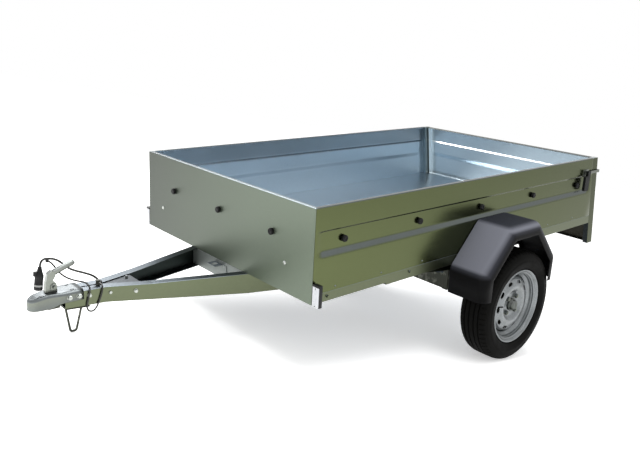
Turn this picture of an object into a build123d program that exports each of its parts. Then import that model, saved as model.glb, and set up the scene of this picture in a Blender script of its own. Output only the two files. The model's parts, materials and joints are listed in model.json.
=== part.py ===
"""Single-axle utility trailer, parked on its V-shaped rod stand and its two wheels.

Millimetres. The pieces are drawn in the trailer's level frame: X across it (+X is its left side),
Y from the coupling to the tailgate, Z up, with Y = 0 at the front panel's outer face and Z = 0 at the
bottom edge of the front panel. At the end everything is turned about X until the foot of the stand
and both tyres touch one floor, and moved so that the origin is the centre of the box's bottom.
"""
from build123d import *
from math import asin, atan2, cos, degrees, hypot, pi, radians, sin, tan
import os

# ---- load box ----
BOX_LENGTH = 2150.0          # front panel's face to the rear face, at the rake's level
REAR_RAKE = 9.3              # degrees that the rear face leans forwards at the top
RAKE_LEVEL = 311.0           # height about which the rear face leans
BOX_WIDTH = 1250.0           # over both side panels
WALL_HEIGHT = 380.0          # bottom edge of the front panel to the top rim
WALL_SHEET = 2.0             # steel sheet of the walls
WALL_RIM = 20.0              # rim folded inwards along the top of each wall
WALL_RIM_LIP = 10.0          # its lip folded down again
SWAGE_DEPTH = 8.0            # how far the pressed band stands back from the wall's face
SWAGE_END = 46.0             # plain strip at each end of the band
SWAGE_SLOPE_FOOT = 180.0     # heights of the band's bends above the panel's bottom edge
SWAGE_LOW = 205.0
SWAGE_HIGH = 280.0
SWAGE_TOP = 287.0
FLOOR_DEPTH = 12.0           # profiled steel floor
FLOOR_SHEET = 2.5
FLOOR_RIB_COUNT = 7          # folded ribs along its underside
SEAT_GAP = 0.3               # gap where one piece fits between others
CORNER_POST = 30.0           # legs of the front corner angles

# ---- chassis ----
RAIL_TOP = 38.0              # the floor and the side panels stand on this level
RAIL_STEP_Y = 415.0          # the rail is deeper behind this line
RAIL_BOTTOM_FRONT = 0.0
RAIL_BOTTOM_REAR = -9.0
RAIL_FLANGE = 40.0
RAIL_SHEET = 3.0
CROSS_MEMBER_WIDTH = 40.0
CROSS_MEMBER_FRONTS = (60.0, 540.0, 1010.0, 1560.0)   # front faces of the floor's cross members
REAR_MEMBER_DEPTH = 52.0     # the rear one, which carries the tailgate's hinges
POST_DEPTH = 54.0            # rear posts, along Y
POST_WIDTH = 28.0            # rear posts, across
POST_SHEET = 2.5
LAMP_PANEL_BOTTOM = -138.0   # the rear posts and the lamp panel hang down to here
LAMP_PANEL_SHEET = 3.0

# ---- drawbar ----
ARM_SPREAD = 220.0           # outer face of each arm from the middle, at the front panel
ARM_TAPER = 0.322            # sideways run of an arm for each unit of length
ARM_NECK = 44.0              # outer face where the arms run side by side
ARM_FRONT_Y = -705.0
ARM_REAR_Y = 1064.0
ARM_HEIGHT = 88.0            # under the box
ARM_FRONT_HEIGHT = 60.0      # at the neck
ARM_BEND_BOTTOM = -57.0      # lower edge where the arms start to run side by side
ARM_RISE_Y = -370.0          # in front of this line the arms rise a little
ARM_RISE = 0.038             # rise for each unit of length
NECK_PLATE_FRONT = -600.0    # plate between the arms at the neck
NECK_PLATE_REAR = -402.0
NECK_PLATE_SHEET = 3.5
ARM_FLANGE = 40.0
ARM_SHEET = 3.5
MEMBER_FACE_Y = 4.0          # front face of the cross member between the arms

# ---- coupling and stand ----
NOSE_Y = -828.0
BALL_RADIUS = 25.0           # 50 mm towing ball
SOCKET_CLEARANCE = 0.4
COUPLING_WALL = 8.0
COUPLING_SHEET = 4.0         # sides that reach over the arms
COUPLING_TOP = 19.0
COUPLING_SKIRT = -21.0       # lower edge of those sides
SOCKET_CENTRE_Z = -26.0
SOCKET_SKIRT = 20.0          # straight wall below the ball's centre
SHANK_REAR_Y = -635.0
CLAMP_REAR_GAP = 10.0        # metal between the clamp's pocket and the arms
STAND_ROD = 8.0              # bent round bar
STAND_FRONT_Y = -690.0
STAND_REAR_Y = -623.0
STAND_BEND_FRONT_Y = -673.0
STAND_BEND_REAR_Y = -650.0
STAND_TOP_Z = -56.0
STAND_BEND_Z = -163.0        # middle of the rod at its foot
STAND_BEND_RADIUS = 10.0     # of the rod's middle line
STAND_PLATE = 4.0

# ---- wheels and axle ----
AXLE_Y = 1165.0
AXLE_Z = -227.0
TYRE_RADIUS = 273.0
TYRE_HALF_WIDTH = 78.5
TYRE_GAP = 34.5              # between a side panel and the tyre's inner side
TREAD_HALF_WIDTH = 59.0
RIM_FLANGE_RADIUS = 182.0
RIM_SEAT_RADIUS = 166.0
RIM_WELL_RADIUS = 146.0
RIM_HALF_WIDTH = 68.0
RIM_SHEET = 4.0
WHEEL_OFFSET = 30.0          # bolting face, outboard of the tyre's middle
DISC_SHEET = 5.0
DISC_FLAT_RADIUS = 60.0      # flat middle of the disc, which the nuts hold
DISC_DOME = 16.5             # how far the domed ring stands out
DISC_DOME_START = 78.0
DISC_DOME_END = 96.0
DISC_EDGE_DOME = 8.0
DISC_EDGE_RADIUS = 124.0
DISC_FOOT = 12.0             # where the disc meets the rim's well
HUB_FLANGE_RADIUS = 62.0
HUB_BORE_IN_DISC = 32.0
VENT_COUNT = 10
VENT_RADIUS = 8.0
VENT_CIRCLE = 117.0
SPINDLE_RADIUS = 14.0
SPINDLE_CLEARANCE = 0.1
BEAM_SIZE = 70.0             # square axle tube
BEAM_WALL = 4.0
BEAM_Y = 1010.0
BEAM_TOP = -122.0
BEAM_HALF_LENGTH = 592.0
BRACKET_PLATE = 6.0
BRACKET_WIDTH = 30.0         # of the plates that hang the tube from the drawbar
ARM_PLATE = 18.0             # thickness of the trailing arms
ARM_PLATE_GAP = 3.0

# ---- mudguards ----
GUARD_CENTRE_Y = 1145.0
GUARD_HALF_LENGTH = 300.0
GUARD_TOP_HALF = 118.0
GUARD_TOP_Z = 186.0
GUARD_CREASE_Z = -12.0
GUARD_BOTTOM_Z = -138.0
GUARD_WIDTH = 200.0
GUARD_WALL = 4.0
GUARD_SKIRT = 62.0           # outer side wall
GUARD_FLANGE = 24.0          # inner flange, bolted to the side panel
GUARD_CORNER = 26.0          # rounding of the bends
GUARD_SEAT_GAP = 0.5

# ---- tailgate ----
GATE_DEPTH = 26.0            # folded pan
GATE_SHEET = 2.0
GATE_SIDE_GAP = 5.0
GATE_BOTTOM_GAP = 6.0
HINGE_PIN_OFFSET = 7.0       # pin's middle behind the outer face
HINGE_KNUCKLE_RADIUS = 6.4
HINGE_PIN_RADIUS = 3.0
HINGE_LEAF = 2.5
HINGE_CENTRES = (-400.0, 400.0)
KNUCKLE_LENGTH = 28.0
KNUCKLE_GAP = 1.0
LEAF_HEIGHT = 30.0
HINGE_FOOT = 14.0            # full-width strip along the bottom of a fixed leaf
GATE_OPEN = 135.0            # degrees that the tailgate swings down

# ---- latches ----
LATCH_SETBACK = 132.0        # pivot ahead of the rear face
LATCH_PIVOT_Z = 302.0
LATCH_PIVOT_RADIUS = 7.0
LATCH_PIVOT_LENGTH = 10.0
LATCH_PLATE = 3.0
LATCH_BASE = 60.0
LATCH_STRAP = 5.0
LATCH_STRAP_HEIGHT = 16.0
LATCH_CLAW_REACH = 10.0       # claw's far face behind the post
LATCH_HEAD_HALF = 14.0
LATCH_GRIP_OFFSET = 12.0     # grip's middle ahead of the pivot
LATCH_GRIP_WIDTH = 48.0
LATCH_GRIP_HEIGHT = 84.0
LATCH_GRIP_DEPTH = 15.0
LATCH_GRIP_ROUND = 8.0

# ---- fittings ----
HOOK_RADIUS = 14.0           # rubber tarpaulin hooks
HOOK_LENGTH = 16.0
HOOK_NECK_RADIUS = 9.0
HOOK_NECK = 2.5              # neck that shows between the wall and the head
FRONT_HOOK_PITCH = 375.0
FRONT_HOOK_Z = 229.0
SIDE_HOOK_FIRST_Y = 155.0
SIDE_HOOK_PITCH = 446.0
SIDE_HOOK_COUNT = 5
SIDE_HOOK_Z = 240.0
MARKER_WIDTH = 36.0
MARKER_HEIGHT = 100.0
MARKER_DEPTH = 18.0
MARKER_BOTTOM = -12.0
MARKER_LENS = 4.0
LAMP_WIDTH = 150.0
LAMP_HEIGHT = 96.0
LAMP_DEPTH = 34.0
PLATE_WIDTH = 520.0
PLATE_HEIGHT = 110.0
PLATE_SHEET = 2.0
CABLE_DIAMETER = 8.5
WIRE_DIAMETER = 6.5
PLUG_RADIUS = 16.0
PLUG_LENGTH = 88.0
PLUG_LUG = 12.0
PLUG_LUG_DEPTH = 26.0        # middle of the lid's lug, below the plug's top

# ---- worked out from the values above ----
HALF_WIDTH = BOX_WIDTH / 2
INSIDE_HALF = HALF_WIDTH - WALL_SHEET
POST_INNER_X = HALF_WIDTH - POST_WIDTH
GATE_HALF = POST_INNER_X - GATE_SIDE_GAP
GATE_BOTTOM = RAIL_TOP + GATE_BOTTOM_GAP
FLOOR_TOP = RAIL_TOP + FLOOR_DEPTH
RAKE_RISE = tan(radians(REAR_RAKE))
HINGE_Y = BOX_LENGTH + HINGE_PIN_OFFSET
HINGE_Z = RAIL_TOP + GATE_BOTTOM_GAP / 2
WHEEL_X = HALF_WIDTH + TYRE_GAP + TYRE_HALF_WIDTH
RAIL_INNER_X = HALF_WIDTH - RAIL_SHEET
BEAM_Z = BEAM_TOP - BEAM_SIZE / 2
SOCKET_RADIUS = BALL_RADIUS + SOCKET_CLEARANCE
SOCKET_Y = NOSE_Y + SOCKET_RADIUS + COUPLING_WALL
COUPLING_BOTTOM = SOCKET_CENTRE_Z - SOCKET_SKIRT
ARM_BEND_Y = -(ARM_SPREAD - ARM_NECK) / ARM_TAPER
LATCH_PIVOT_Y = BOX_LENGTH - LATCH_SETBACK
GUARD_INNER_X = HALF_WIDTH + GUARD_SEAT_GAP
GUARD_OUTER_X = GUARD_INNER_X + GUARD_WIDTH


# ---- drawing helpers ----
def block(x0, x1, y0, y1, z0, z1):
    """Box between two corners."""
    return Pos((x0 + x1) / 2, (y0 + y1) / 2, (z0 + z1) / 2) * Box(x1 - x0, y1 - y0, z1 - z0)


def along_x(outline, x0, x1):
    """Outline of (y, z) points, carried from x0 to x1."""
    face = make_face(Polyline(*[(x0, y, z) for y, z in outline], close=True))
    return extrude(face, amount=x1 - x0, dir=(1, 0, 0))


def along_y(outline, y0, y1):
    """Outline of (x, z) points, carried from y0 to y1."""
    face = make_face(Polyline(*[(x, y0, z) for x, z in outline], close=True))
    return extrude(face, amount=y1 - y0, dir=(0, 1, 0))


def along_z(outline, z0, z1):
    """Outline of (x, y) points, carried from z0 to z1."""
    face = make_face(Polyline(*[(x, y, z0) for x, y in outline], close=True))
    return extrude(face, amount=z1 - z0, dir=(0, 0, 1))


def bar(start, end, radius):
    """Round bar between two points."""
    line = Vector(*end) - Vector(*start)
    return Plane(origin=start, z_dir=line) * Cylinder(
        radius, line.length, align=(Align.CENTER, Align.CENTER, Align.MIN))


def rear_y(z, inset=0.0):
    """Place of the raked rear face at a height, or of a plane set in from it."""
    return BOX_LENGTH + (RAKE_LEVEL - z) * RAKE_RISE - inset / cos(radians(REAR_RAKE))


def raked(piece):
    """Piece drawn against an upright rear face, leaned with the real one."""
    return Pos(0, BOX_LENGTH, RAKE_LEVEL) * Rot(REAR_RAKE, 0, 0) * Pos(0, -BOX_LENGTH, -RAKE_LEVEL) * piece


def upright_z(z):
    """Height on the upright rear face of the point that leans to the given height."""
    return RAKE_LEVEL - (RAKE_LEVEL - z) / cos(radians(REAR_RAKE))


def behind_posts(x0, x1, gap=0.0):
    """Space from the rear posts' raked front faces to the rear."""
    z0, z1 = LAMP_PANEL_BOTTOM - 1, WALL_HEIGHT + 1
    far = rear_y(z0) + POST_DEPTH
    return along_x([(rear_y(z0, POST_DEPTH) - gap, z0), (far, z0), (far, z1),
                    (rear_y(z1, POST_DEPTH) - gap, z1)], x0, x1)


def turned(profile, x_middle, y, z):
    """Profile of (x, radius) points turned about an axis along X through (y, z)."""
    face = make_face(Polyline(*[(x, r, 0) for x, r in profile], close=True))
    return Pos(x_middle, y, z) * revolve(face, axis=Axis.X)


def left_and_right(piece):
    """The piece and its mirror image on the other side."""
    return piece, mirror(piece, about=Plane.YZ)


def pair(piece):
    """Both sides' copies as one node of separate solids."""
    return Compound(children=list(left_and_right(piece)))


# ---- walls ----
def swaged_sheet(length, z_bottom, z_top, sheet, last_strip=SWAGE_END):
    """Wall sheet with its pressed band: x is the depth inwards, y runs along the wall."""
    band_end = length - last_strip
    face_line = [(0, z_bottom), (0, SWAGE_SLOPE_FOOT), (SWAGE_DEPTH, SWAGE_LOW),
                 (SWAGE_DEPTH, SWAGE_HIGH), (0, SWAGE_TOP), (0, z_top)]
    back_line = [(x + sheet, z) for x, z in reversed(face_line)]
    band_line = face_line[1:5]
    middle = along_y(face_line + back_line, SWAGE_END, band_end)
    plain = [block(0, sheet, y0, y1, z_bottom, z_top) for y0, y1 in ((0, SWAGE_END), (band_end, length))]
    band_back = [(x + sheet, z) for x, z in reversed(band_line)]
    band_outline = [(0, SWAGE_SLOPE_FOOT)] + band_back[::-1] + [(0, SWAGE_TOP)]
    closers = [along_y(band_outline, y0, y0 + sheet)
               for y0 in (SWAGE_END - sheet, band_end)]
    return middle + plain + closers


def side_panel():
    """Left side panel, folded over along its top and cut along the raked post."""
    length = rear_y(RAIL_TOP, POST_DEPTH) - WALL_SHEET
    band_end = rear_y(SWAGE_TOP, POST_DEPTH) - WALL_SHEET - SWAGE_END
    sheet = swaged_sheet(length, RAIL_TOP, WALL_HEIGHT, WALL_SHEET, length - band_end)
    rim = block(0, WALL_RIM, 0, length, WALL_HEIGHT - WALL_SHEET, WALL_HEIGHT)
    lip = block(WALL_RIM - WALL_SHEET, WALL_RIM, 0, length, WALL_HEIGHT - WALL_RIM_LIP, WALL_HEIGHT)
    inwards = mirror(sheet + rim + lip, about=Plane.YZ)
    return Pos(HALF_WIDTH, WALL_SHEET, 0) * inwards - behind_posts(0, BOX_WIDTH)


def front_panel():
    """Plain front panel with its top rim and bottom flange."""
    rim_half = HALF_WIDTH - WALL_RIM - SEAT_GAP
    flange_half = RAIL_INNER_X - RAIL_FLANGE - SEAT_GAP
    top = WALL_HEIGHT
    panel = block(-HALF_WIDTH, HALF_WIDTH, 0, WALL_SHEET, 0, top)
    panel += block(-rim_half, rim_half, 0, WALL_RIM, top - WALL_SHEET, top)
    panel += block(-rim_half, rim_half, WALL_RIM - WALL_SHEET, WALL_RIM, top - WALL_RIM_LIP, top)
    panel += block(-flange_half, flange_half, 0, WALL_RIM, 0, WALL_SHEET)
    return panel


def corner_posts():
    """Angles inside the two front corners."""
    y0 = WALL_SHEET
    top = WALL_HEIGHT - WALL_RIM_LIP - SEAT_GAP
    leg_x = INSIDE_HALF - CORNER_POST
    post = block(leg_x, INSIDE_HALF, y0, y0 + WALL_SHEET, FLOOR_TOP, top)
    post += block(INSIDE_HALF - WALL_SHEET, INSIDE_HALF, y0, y0 + CORNER_POST - WALL_SHEET, FLOOR_TOP, top)
    return pair(post)


def floor_sheet():
    """Profiled floor between the side panels: a sheet with folded edges and ribs below."""
    half = INSIDE_HALF - SEAT_GAP
    y0, y1, sheet = WALL_SHEET, rear_y(FLOOR_TOP, GATE_DEPTH) - GATE_BOTTOM_GAP, FLOOR_SHEET
    floor = block(-half, half, y0, y1, FLOOR_TOP - sheet, FLOOR_TOP)
    for edge_y in (y0, y1 - sheet):
        floor += block(-half, half, edge_y, edge_y + sheet, RAIL_TOP, FLOOR_TOP)
    pitch = (2 * half - sheet) / (FLOOR_RIB_COUNT + 1)
    for i in range(FLOOR_RIB_COUNT + 2):
        x0 = -half + i * pitch
        floor += block(x0, x0 + sheet, y0, y1, RAIL_TOP, FLOOR_TOP)
    return floor - pair(behind_posts(POST_INNER_X - SEAT_GAP, HALF_WIDTH, SEAT_GAP))


# ---- chassis ----
def side_rail():
    """Left rail: a channel open inwards, deeper behind its step."""
    rail = Part()
    rear = rear_y(RAIL_BOTTOM_REAR, POST_DEPTH)
    runs = ((WALL_SHEET, RAIL_STEP_Y, RAIL_BOTTOM_FRONT), (RAIL_STEP_Y, rear, RAIL_BOTTOM_REAR))
    for y0, y1, bottom in runs:
        inner = RAIL_INNER_X - RAIL_FLANGE
        rail += block(RAIL_INNER_X, HALF_WIDTH, y0, y1, bottom, RAIL_TOP)
        rail += block(inner, HALF_WIDTH, y0, y1, bottom, bottom + RAIL_SHEET)
        rail += block(inner, HALF_WIDTH, y0, y1, RAIL_TOP - RAIL_SHEET, RAIL_TOP)
    return rail - behind_posts(0, BOX_WIDTH)


def channel_across(half, y0, y1, z0, z1, sheet):
    """Channel across the trailer, its web in front and its flanges to the rear."""
    channel = block(-half, half, y0, y0 + sheet, z0, z1)
    channel += block(-half, half, y0, y1, z0, z0 + sheet)
    channel += block(-half, half, y0, y1, z1 - sheet, z1)
    return channel


def cross_members():
    """Channels under the floor, between the rails and on the drawbar's arms."""
    half = RAIL_INNER_X - SEAT_GAP
    members = []
    for y0 in CROSS_MEMBER_FRONTS:
        members.append(channel_across(half, y0, y0 + CROSS_MEMBER_WIDTH, 0.0 + RAIL_SHEET + SEAT_GAP,
                                      RAIL_TOP - RAIL_SHEET, RAIL_SHEET))
    return Compound(children=members)


def rear_member():
    """Channel under the rear end of the floor, between the rear posts; its web is the raked rear face."""
    half = POST_INNER_X - SEAT_GAP
    low, high = RAIL_SHEET, RAIL_TOP - RAIL_SHEET
    y0 = rear_y(0) - REAR_MEMBER_DEPTH
    outside = [(y0, 0), (rear_y(0), 0), (rear_y(RAIL_TOP), RAIL_TOP), (y0, RAIL_TOP)]
    inside = [(y0 - 1, low), (rear_y(low, RAIL_SHEET), low), (rear_y(high, RAIL_SHEET), high), (y0 - 1, high)]
    return along_x(outside, -half, half) - along_x(inside, -half, half)


def rear_posts():
    """Hollow raked posts at the rear corners, down to the lamp panel's bottom."""
    sheet = POST_SHEET
    z0, z1 = LAMP_PANEL_BOTTOM, WALL_HEIGHT
    outside = [(rear_y(z0, POST_DEPTH), z0), (rear_y(z0), z0), (rear_y(z1), z1), (rear_y(z1, POST_DEPTH), z1)]
    z1 -= sheet
    inside = [(rear_y(z0, POST_DEPTH - sheet), z0), (rear_y(z0, sheet), z0), (rear_y(z1, sheet), z1),
              (rear_y(z1, POST_DEPTH - sheet), z1)]
    return pair(along_x(outside, POST_INNER_X, HALF_WIDTH)
                - along_x(inside, POST_INNER_X + sheet, HALF_WIDTH - sheet))


def lamp_panel():
    """Raked panel for the lamps and the number plate, hung between the rear posts."""
    half = POST_INNER_X - SEAT_GAP
    sheet = LAMP_PANEL_SHEET
    low, high = LAMP_PANEL_BOTTOM, -SEAT_GAP
    outline = [(rear_y(low) - WALL_RIM, low), (rear_y(low), low), (rear_y(high), high),
               (rear_y(high) - RAIL_FLANGE, high), (rear_y(high) - RAIL_FLANGE, high - sheet),
               (rear_y(high - sheet, sheet), high - sheet), (rear_y(low + sheet, sheet), low + sheet),
               (rear_y(low) - WALL_RIM, low + sheet)]
    return along_x(outline, -half, half)


# ---- drawbar ----
def arm_face_x(y):
    """Outer face of the left arm at y."""
    return max(ARM_NECK, ARM_SPREAD + ARM_TAPER * y)


def arm_strip(near, far):
    """Plan outline of the left arm between two depths inwards from its outer face."""
    stations = (ARM_FRONT_Y, ARM_BEND_Y, ARM_REAR_Y)
    outer = [(arm_face_x(y) - near, y) for y in stations]
    inner = [(arm_face_x(y) - far, y) for y in reversed(stations)]
    return outer + inner


def neck_top(y):
    """Height of the arms' upper faces, which rise towards the coupling."""
    return max(0.0, (ARM_RISE_Y - y) * ARM_RISE)


def neck_bottom(y):
    """Height of the arms' lower edge where they run side by side."""
    front = neck_top(ARM_FRONT_Y) - ARM_FRONT_HEIGHT
    part_way = (y - ARM_FRONT_Y) / (ARM_BEND_Y - ARM_FRONT_Y)
    return front + part_way * (ARM_BEND_BOTTOM - front)


def arm_side_outline(inset):
    """Side outline of an arm: the upper edge rises at the neck, and the lower edge from the box on."""
    y0, y1 = ARM_FRONT_Y - 1, ARM_REAR_Y + 1
    low = -ARM_HEIGHT + inset
    return [(y0, neck_top(y0) - inset), (ARM_RISE_Y, -inset), (y1, -inset), (y1, low), (0, low),
            (ARM_BEND_Y, ARM_BEND_BOTTOM + inset), (y0, neck_bottom(y0) + inset)]


def drawbar_arm():
    """Left arm: a channel open inwards, from the neck to the axle."""
    half = HALF_WIDTH
    top = neck_top(ARM_FRONT_Y) + 1
    body = along_z(arm_strip(0, ARM_FLANGE), -ARM_HEIGHT, top)
    body &= along_x(arm_side_outline(0), -half, half)
    hollow = along_z(arm_strip(ARM_SHEET, ARM_FLANGE + BOX_WIDTH), -ARM_HEIGHT, top)
    hollow &= along_x(arm_side_outline(ARM_SHEET), -half, half)
    return body - hollow


def cable_hole():
    """Hole through the top of the neck for the electric cable."""
    return bar((CABLE_HOLE_X, CABLE_HOLE_Y, -ARM_FRONT_HEIGHT / 2), (CABLE_HOLE_X, CABLE_HOLE_Y, ARM_HEIGHT),
               CABLE_HOLE_RADIUS)


def neck_plate():
    """Plate between the arms at the neck, just under their top flanges."""
    y0, y1 = NECK_PLATE_FRONT, NECK_PLATE_REAR
    drop = ARM_SHEET + SEAT_GAP
    stations = (y0, ARM_BEND_Y, y1)
    left = [(arm_face_x(y) - ARM_SHEET - SEAT_GAP, y) for y in stations]
    right = [(-x, y) for x, y in reversed(left)]
    side = [(y0, neck_top(y0) - drop), (y1, neck_top(y1) - drop),
            (y1, neck_top(y1) - drop - NECK_PLATE_SHEET), (y0, neck_top(y0) - drop - NECK_PLATE_SHEET)]
    plate = along_z(left + right, -ARM_HEIGHT, ARM_HEIGHT) & along_x(side, -HALF_WIDTH, HALF_WIDTH)
    return plate - cable_hole()


def neck_grommet():
    """Rubber ring on top of the neck, round the cable's hole."""
    x, y, base = CABLE_HOLE_X, CABLE_HOLE_Y, neck_top(CABLE_HOLE_Y - GROMMET_RADIUS) + SEAT_GAP
    ring = bar((x, y, base), (x, y, base + GROMMET_HEIGHT), GROMMET_RADIUS)
    return ring - bar((x, y, base - 1), (x, y, base + GROMMET_HEIGHT + 1), GROMMET_BORE)


def drawbar_member():
    """Plate between the arms under the front panel, with folded edges."""
    y0 = MEMBER_FACE_Y
    y1 = y0 + ARM_SHEET
    x_front = arm_face_x(y0) - ARM_SHEET - SEAT_GAP
    top = -ARM_SHEET - SEAT_GAP
    bottom = -ARM_HEIGHT + ARM_SHEET + SEAT_GAP
    web = block(-x_front, x_front, y0, y1, bottom, top)
    flange = block(-x_front, x_front, y0, y0 + ARM_FLANGE - ARM_SHEET, bottom, bottom + ARM_SHEET)
    return web + flange


def plug_holder():
    """Bent bracket on the member between the arms, which parks the plug."""
    y1 = MEMBER_FACE_Y
    reach = 45.0
    sheet = 3.0
    holder = block(-34, 58, y1 - sheet, y1, -62, -18)
    holder += block(-34, 30, y1 - reach, y1, -18 - sheet, -18)
    holder -= Pos(-4, y1 - reach / 2, -20) * Cylinder(12, 20)
    return holder


# ---- coupling and stand ----
def coupling_head():
    """Pressed coupling: a socket for the towing ball, and a shell bolted over the arms' front ends."""
    radius = SOCKET_RADIUS + COUPLING_WALL
    inner = ARM_NECK + SEAT_GAP
    outer = inner + COUPLING_SHEET
    top, skirt, floor = COUPLING_TOP, COUPLING_SKIRT, COUPLING_BOTTOM
    head = Pos(0, SOCKET_Y, (top + floor) / 2) * Cylinder(radius, top - floor)
    head = fillet(head.edges().filter_by(GeomType.CIRCLE).group_by(Axis.Z)[-1], 1.5 * COUPLING_WALL)
    body = along_z([(-radius + 2, SOCKET_Y), (radius - 2, SOCKET_Y), (outer, ARM_FRONT_Y),
                    (outer, SHANK_REAR_Y), (-outer, SHANK_REAR_Y), (-outer, ARM_FRONT_Y)], skirt, top)
    arms_y = ARM_FRONT_Y - SEAT_GAP
    arms_room = along_x([(arms_y, skirt - 1), (SHANK_REAR_Y + 1, skirt - 1),
                         (SHANK_REAR_Y + 1, neck_top(SHANK_REAR_Y + 1) + SEAT_GAP),
                         (arms_y, neck_top(arms_y) + SEAT_GAP)], -inner, inner)
    socket = Pos(0, SOCKET_Y, SOCKET_CENTRE_Z) * Sphere(SOCKET_RADIUS)
    mouth = Pos(0, SOCKET_Y, (SOCKET_CENTRE_Z + floor) / 2) * Cylinder(
        SOCKET_RADIUS, SOCKET_CENTRE_Z - floor)
    return head + body - arms_room - socket - mouth - clamp_pocket(0)


def clamp_pocket(gap):
    """Space of the ball clamp inside the coupling, or the clamp itself, smaller by a gap."""
    half = SOCKET_RADIUS - gap
    front = SOCKET_Y + SOCKET_RADIUS + COUPLING_WALL + gap
    return block(-half, half, front, ARM_FRONT_Y - CLAMP_REAR_GAP - gap, COUPLING_SKIRT - 1,
                 COUPLING_TOP - COUPLING_WALL - gap)


def ball_clamp():
    """Clamp behind the socket, which shows below the coupling's side."""
    below = block(-SOCKET_RADIUS + COUPLING_SHEET, SOCKET_RADIUS - COUPLING_SHEET,
                  SOCKET_Y + SOCKET_RADIUS + COUPLING_WALL + 1, ARM_FRONT_Y - CLAMP_REAR_GAP - 1,
                  COUPLING_BOTTOM, COUPLING_SKIRT)
    return clamp_pocket(SEAT_GAP) + below


LEVER_STEM = ((-764.0, 19.0), (-759.0, 60.0), (-752.0, 90.0), (-738.0, 100.0), (-722.0, 94.0),
              (-724.0, 78.0), (-734.0, 62.0), (-722.0, 50.0), (-720.0, 19.0))   # (y, z) round its side
LEVER_STEM_HALF = 11.0
LEVER_GRIP = ((-730.0, 89.0), (-650.0, 119.0))   # (y, z) of the grip's two ends
LEVER_GRIP_RADIUS = 9.5
LEVER_PIVOT = (-733.0, 38.0)
LEVER_PIVOT_RADIUS = 12.5
LEVER_PIVOT_HALF = 15.0


def coupling_lever():
    """Locking lever: a cast stem with a round boss on the coupling, and a round grip."""
    (y0, z0), (y1, z1) = LEVER_GRIP
    y, z = LEVER_PIVOT
    stem = along_x(LEVER_STEM, -LEVER_STEM_HALF, LEVER_STEM_HALF)
    grip = bar((0, y0, z0), (0, y1, z1), LEVER_GRIP_RADIUS)
    return stem + grip + bar((-LEVER_PIVOT_HALF, y, z), (LEVER_PIVOT_HALF, y, z), LEVER_PIVOT_RADIUS)


def prop_stand():
    """V-shaped bent rod that the drawbar is parked on, with its plate across the arms' undersides."""
    ends = [(0, STAND_FRONT_Y, STAND_TOP_Z), (0, STAND_BEND_FRONT_Y, STAND_BEND_Z),
            (0, STAND_BEND_REAR_Y, STAND_BEND_Z), (0, STAND_REAR_Y, STAND_TOP_Z)]
    path = FilletPolyline(*ends, radius=STAND_BEND_RADIUS)
    rod = sweep(Plane(origin=path @ 0, z_dir=path % 0) * Circle(STAND_ROD / 2), path=path)
    y0, y1 = ARM_FRONT_Y, STAND_REAR_Y + STAND_PLATE * 3
    top0, top1 = neck_bottom(y0) - SEAT_GAP, neck_bottom(y1) - SEAT_GAP
    plate = along_x([(y0, top0), (y1, top1), (y1, STAND_TOP_Z - STAND_PLATE),
                     (y0, STAND_TOP_Z + STAND_PLATE)], -ARM_NECK, ARM_NECK)
    return rod + plate


# ---- wheels ----
def sidewall_arc(side):
    """Points of one sidewall, from the bead to the shoulder, as (x, radius)."""
    bead = RIM_SEAT_RADIUS + SEAT_GAP
    return [(side * 51.0, bead), (side * 55.0, bead + 5), (side * 58.0, RIM_FLANGE_RADIUS + 1.5),
            (side * 69.0, RIM_FLANGE_RADIUS + 3.5), (side * 75.0, 202.0),
            (side * TYRE_HALF_WIDTH, 222.0), (side * 77.0, 240.0), (side * 70.0, 257.0),
            (side * TREAD_HALF_WIDTH, TYRE_RADIUS - 5.0), (side * (TREAD_HALF_WIDTH - 14), TYRE_RADIUS)]


def tyre(x):
    """Road tyre as one ring on the rim's seats."""
    profile = sidewall_arc(1) + sidewall_arc(-1)[::-1]
    return turned(profile, x, AXLE_Y, AXLE_Z)


def rim(x):
    """Pressed steel wheel: the well that holds the tyre, and the disc with its vents."""
    seat, well, lip = RIM_SEAT_RADIUS, RIM_WELL_RADIUS, RIM_FLANGE_RADIUS
    t = RIM_SHEET
    outer = [(RIM_HALF_WIDTH, lip), (RIM_HALF_WIDTH - t, lip), (57.0, seat + 6),
             (52.0, seat), (34.0, seat - 2), (22.0, well), (-16.0, well), (-28.0, seat - 2),
             (-52.0, seat), (-57.0, seat + 6), (-RIM_HALF_WIDTH + t, lip), (-RIM_HALF_WIDTH, lip)]
    inner = [(-RIM_HALF_WIDTH, lip - 8), (-56.0, seat - t), (-27.0, seat - 2 - t), (-15.0, well - t),
             (21.0, well - t), (33.0, seat - 2 - t), (56.0, seat - t), (RIM_HALF_WIDTH, lip - 8)]
    barrel = turned(outer + inner, 0, 0, 0)
    face = WHEEL_OFFSET
    front = [(face, HUB_BORE_IN_DISC), (face, DISC_FLAT_RADIUS), (face + DISC_DOME, DISC_DOME_START),
             (face + DISC_DOME, DISC_DOME_END), (face + DISC_EDGE_DOME, DISC_EDGE_RADIUS),
             (DISC_FOOT, well - t)]
    back = [(px - DISC_SHEET, pr) for px, pr in reversed(front)]
    disc = turned(front + back, 0, 0, 0)
    for i in range(VENT_COUNT):
        turn = 2 * pi * i / VENT_COUNT
        disc -= Pos(face, VENT_CIRCLE * cos(turn), VENT_CIRCLE * sin(turn)) * Rot(0, 90, 0) * Cylinder(
            VENT_RADIUS, 60)
    return Pos(x, AXLE_Y, AXLE_Z) * (barrel + disc)


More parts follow.
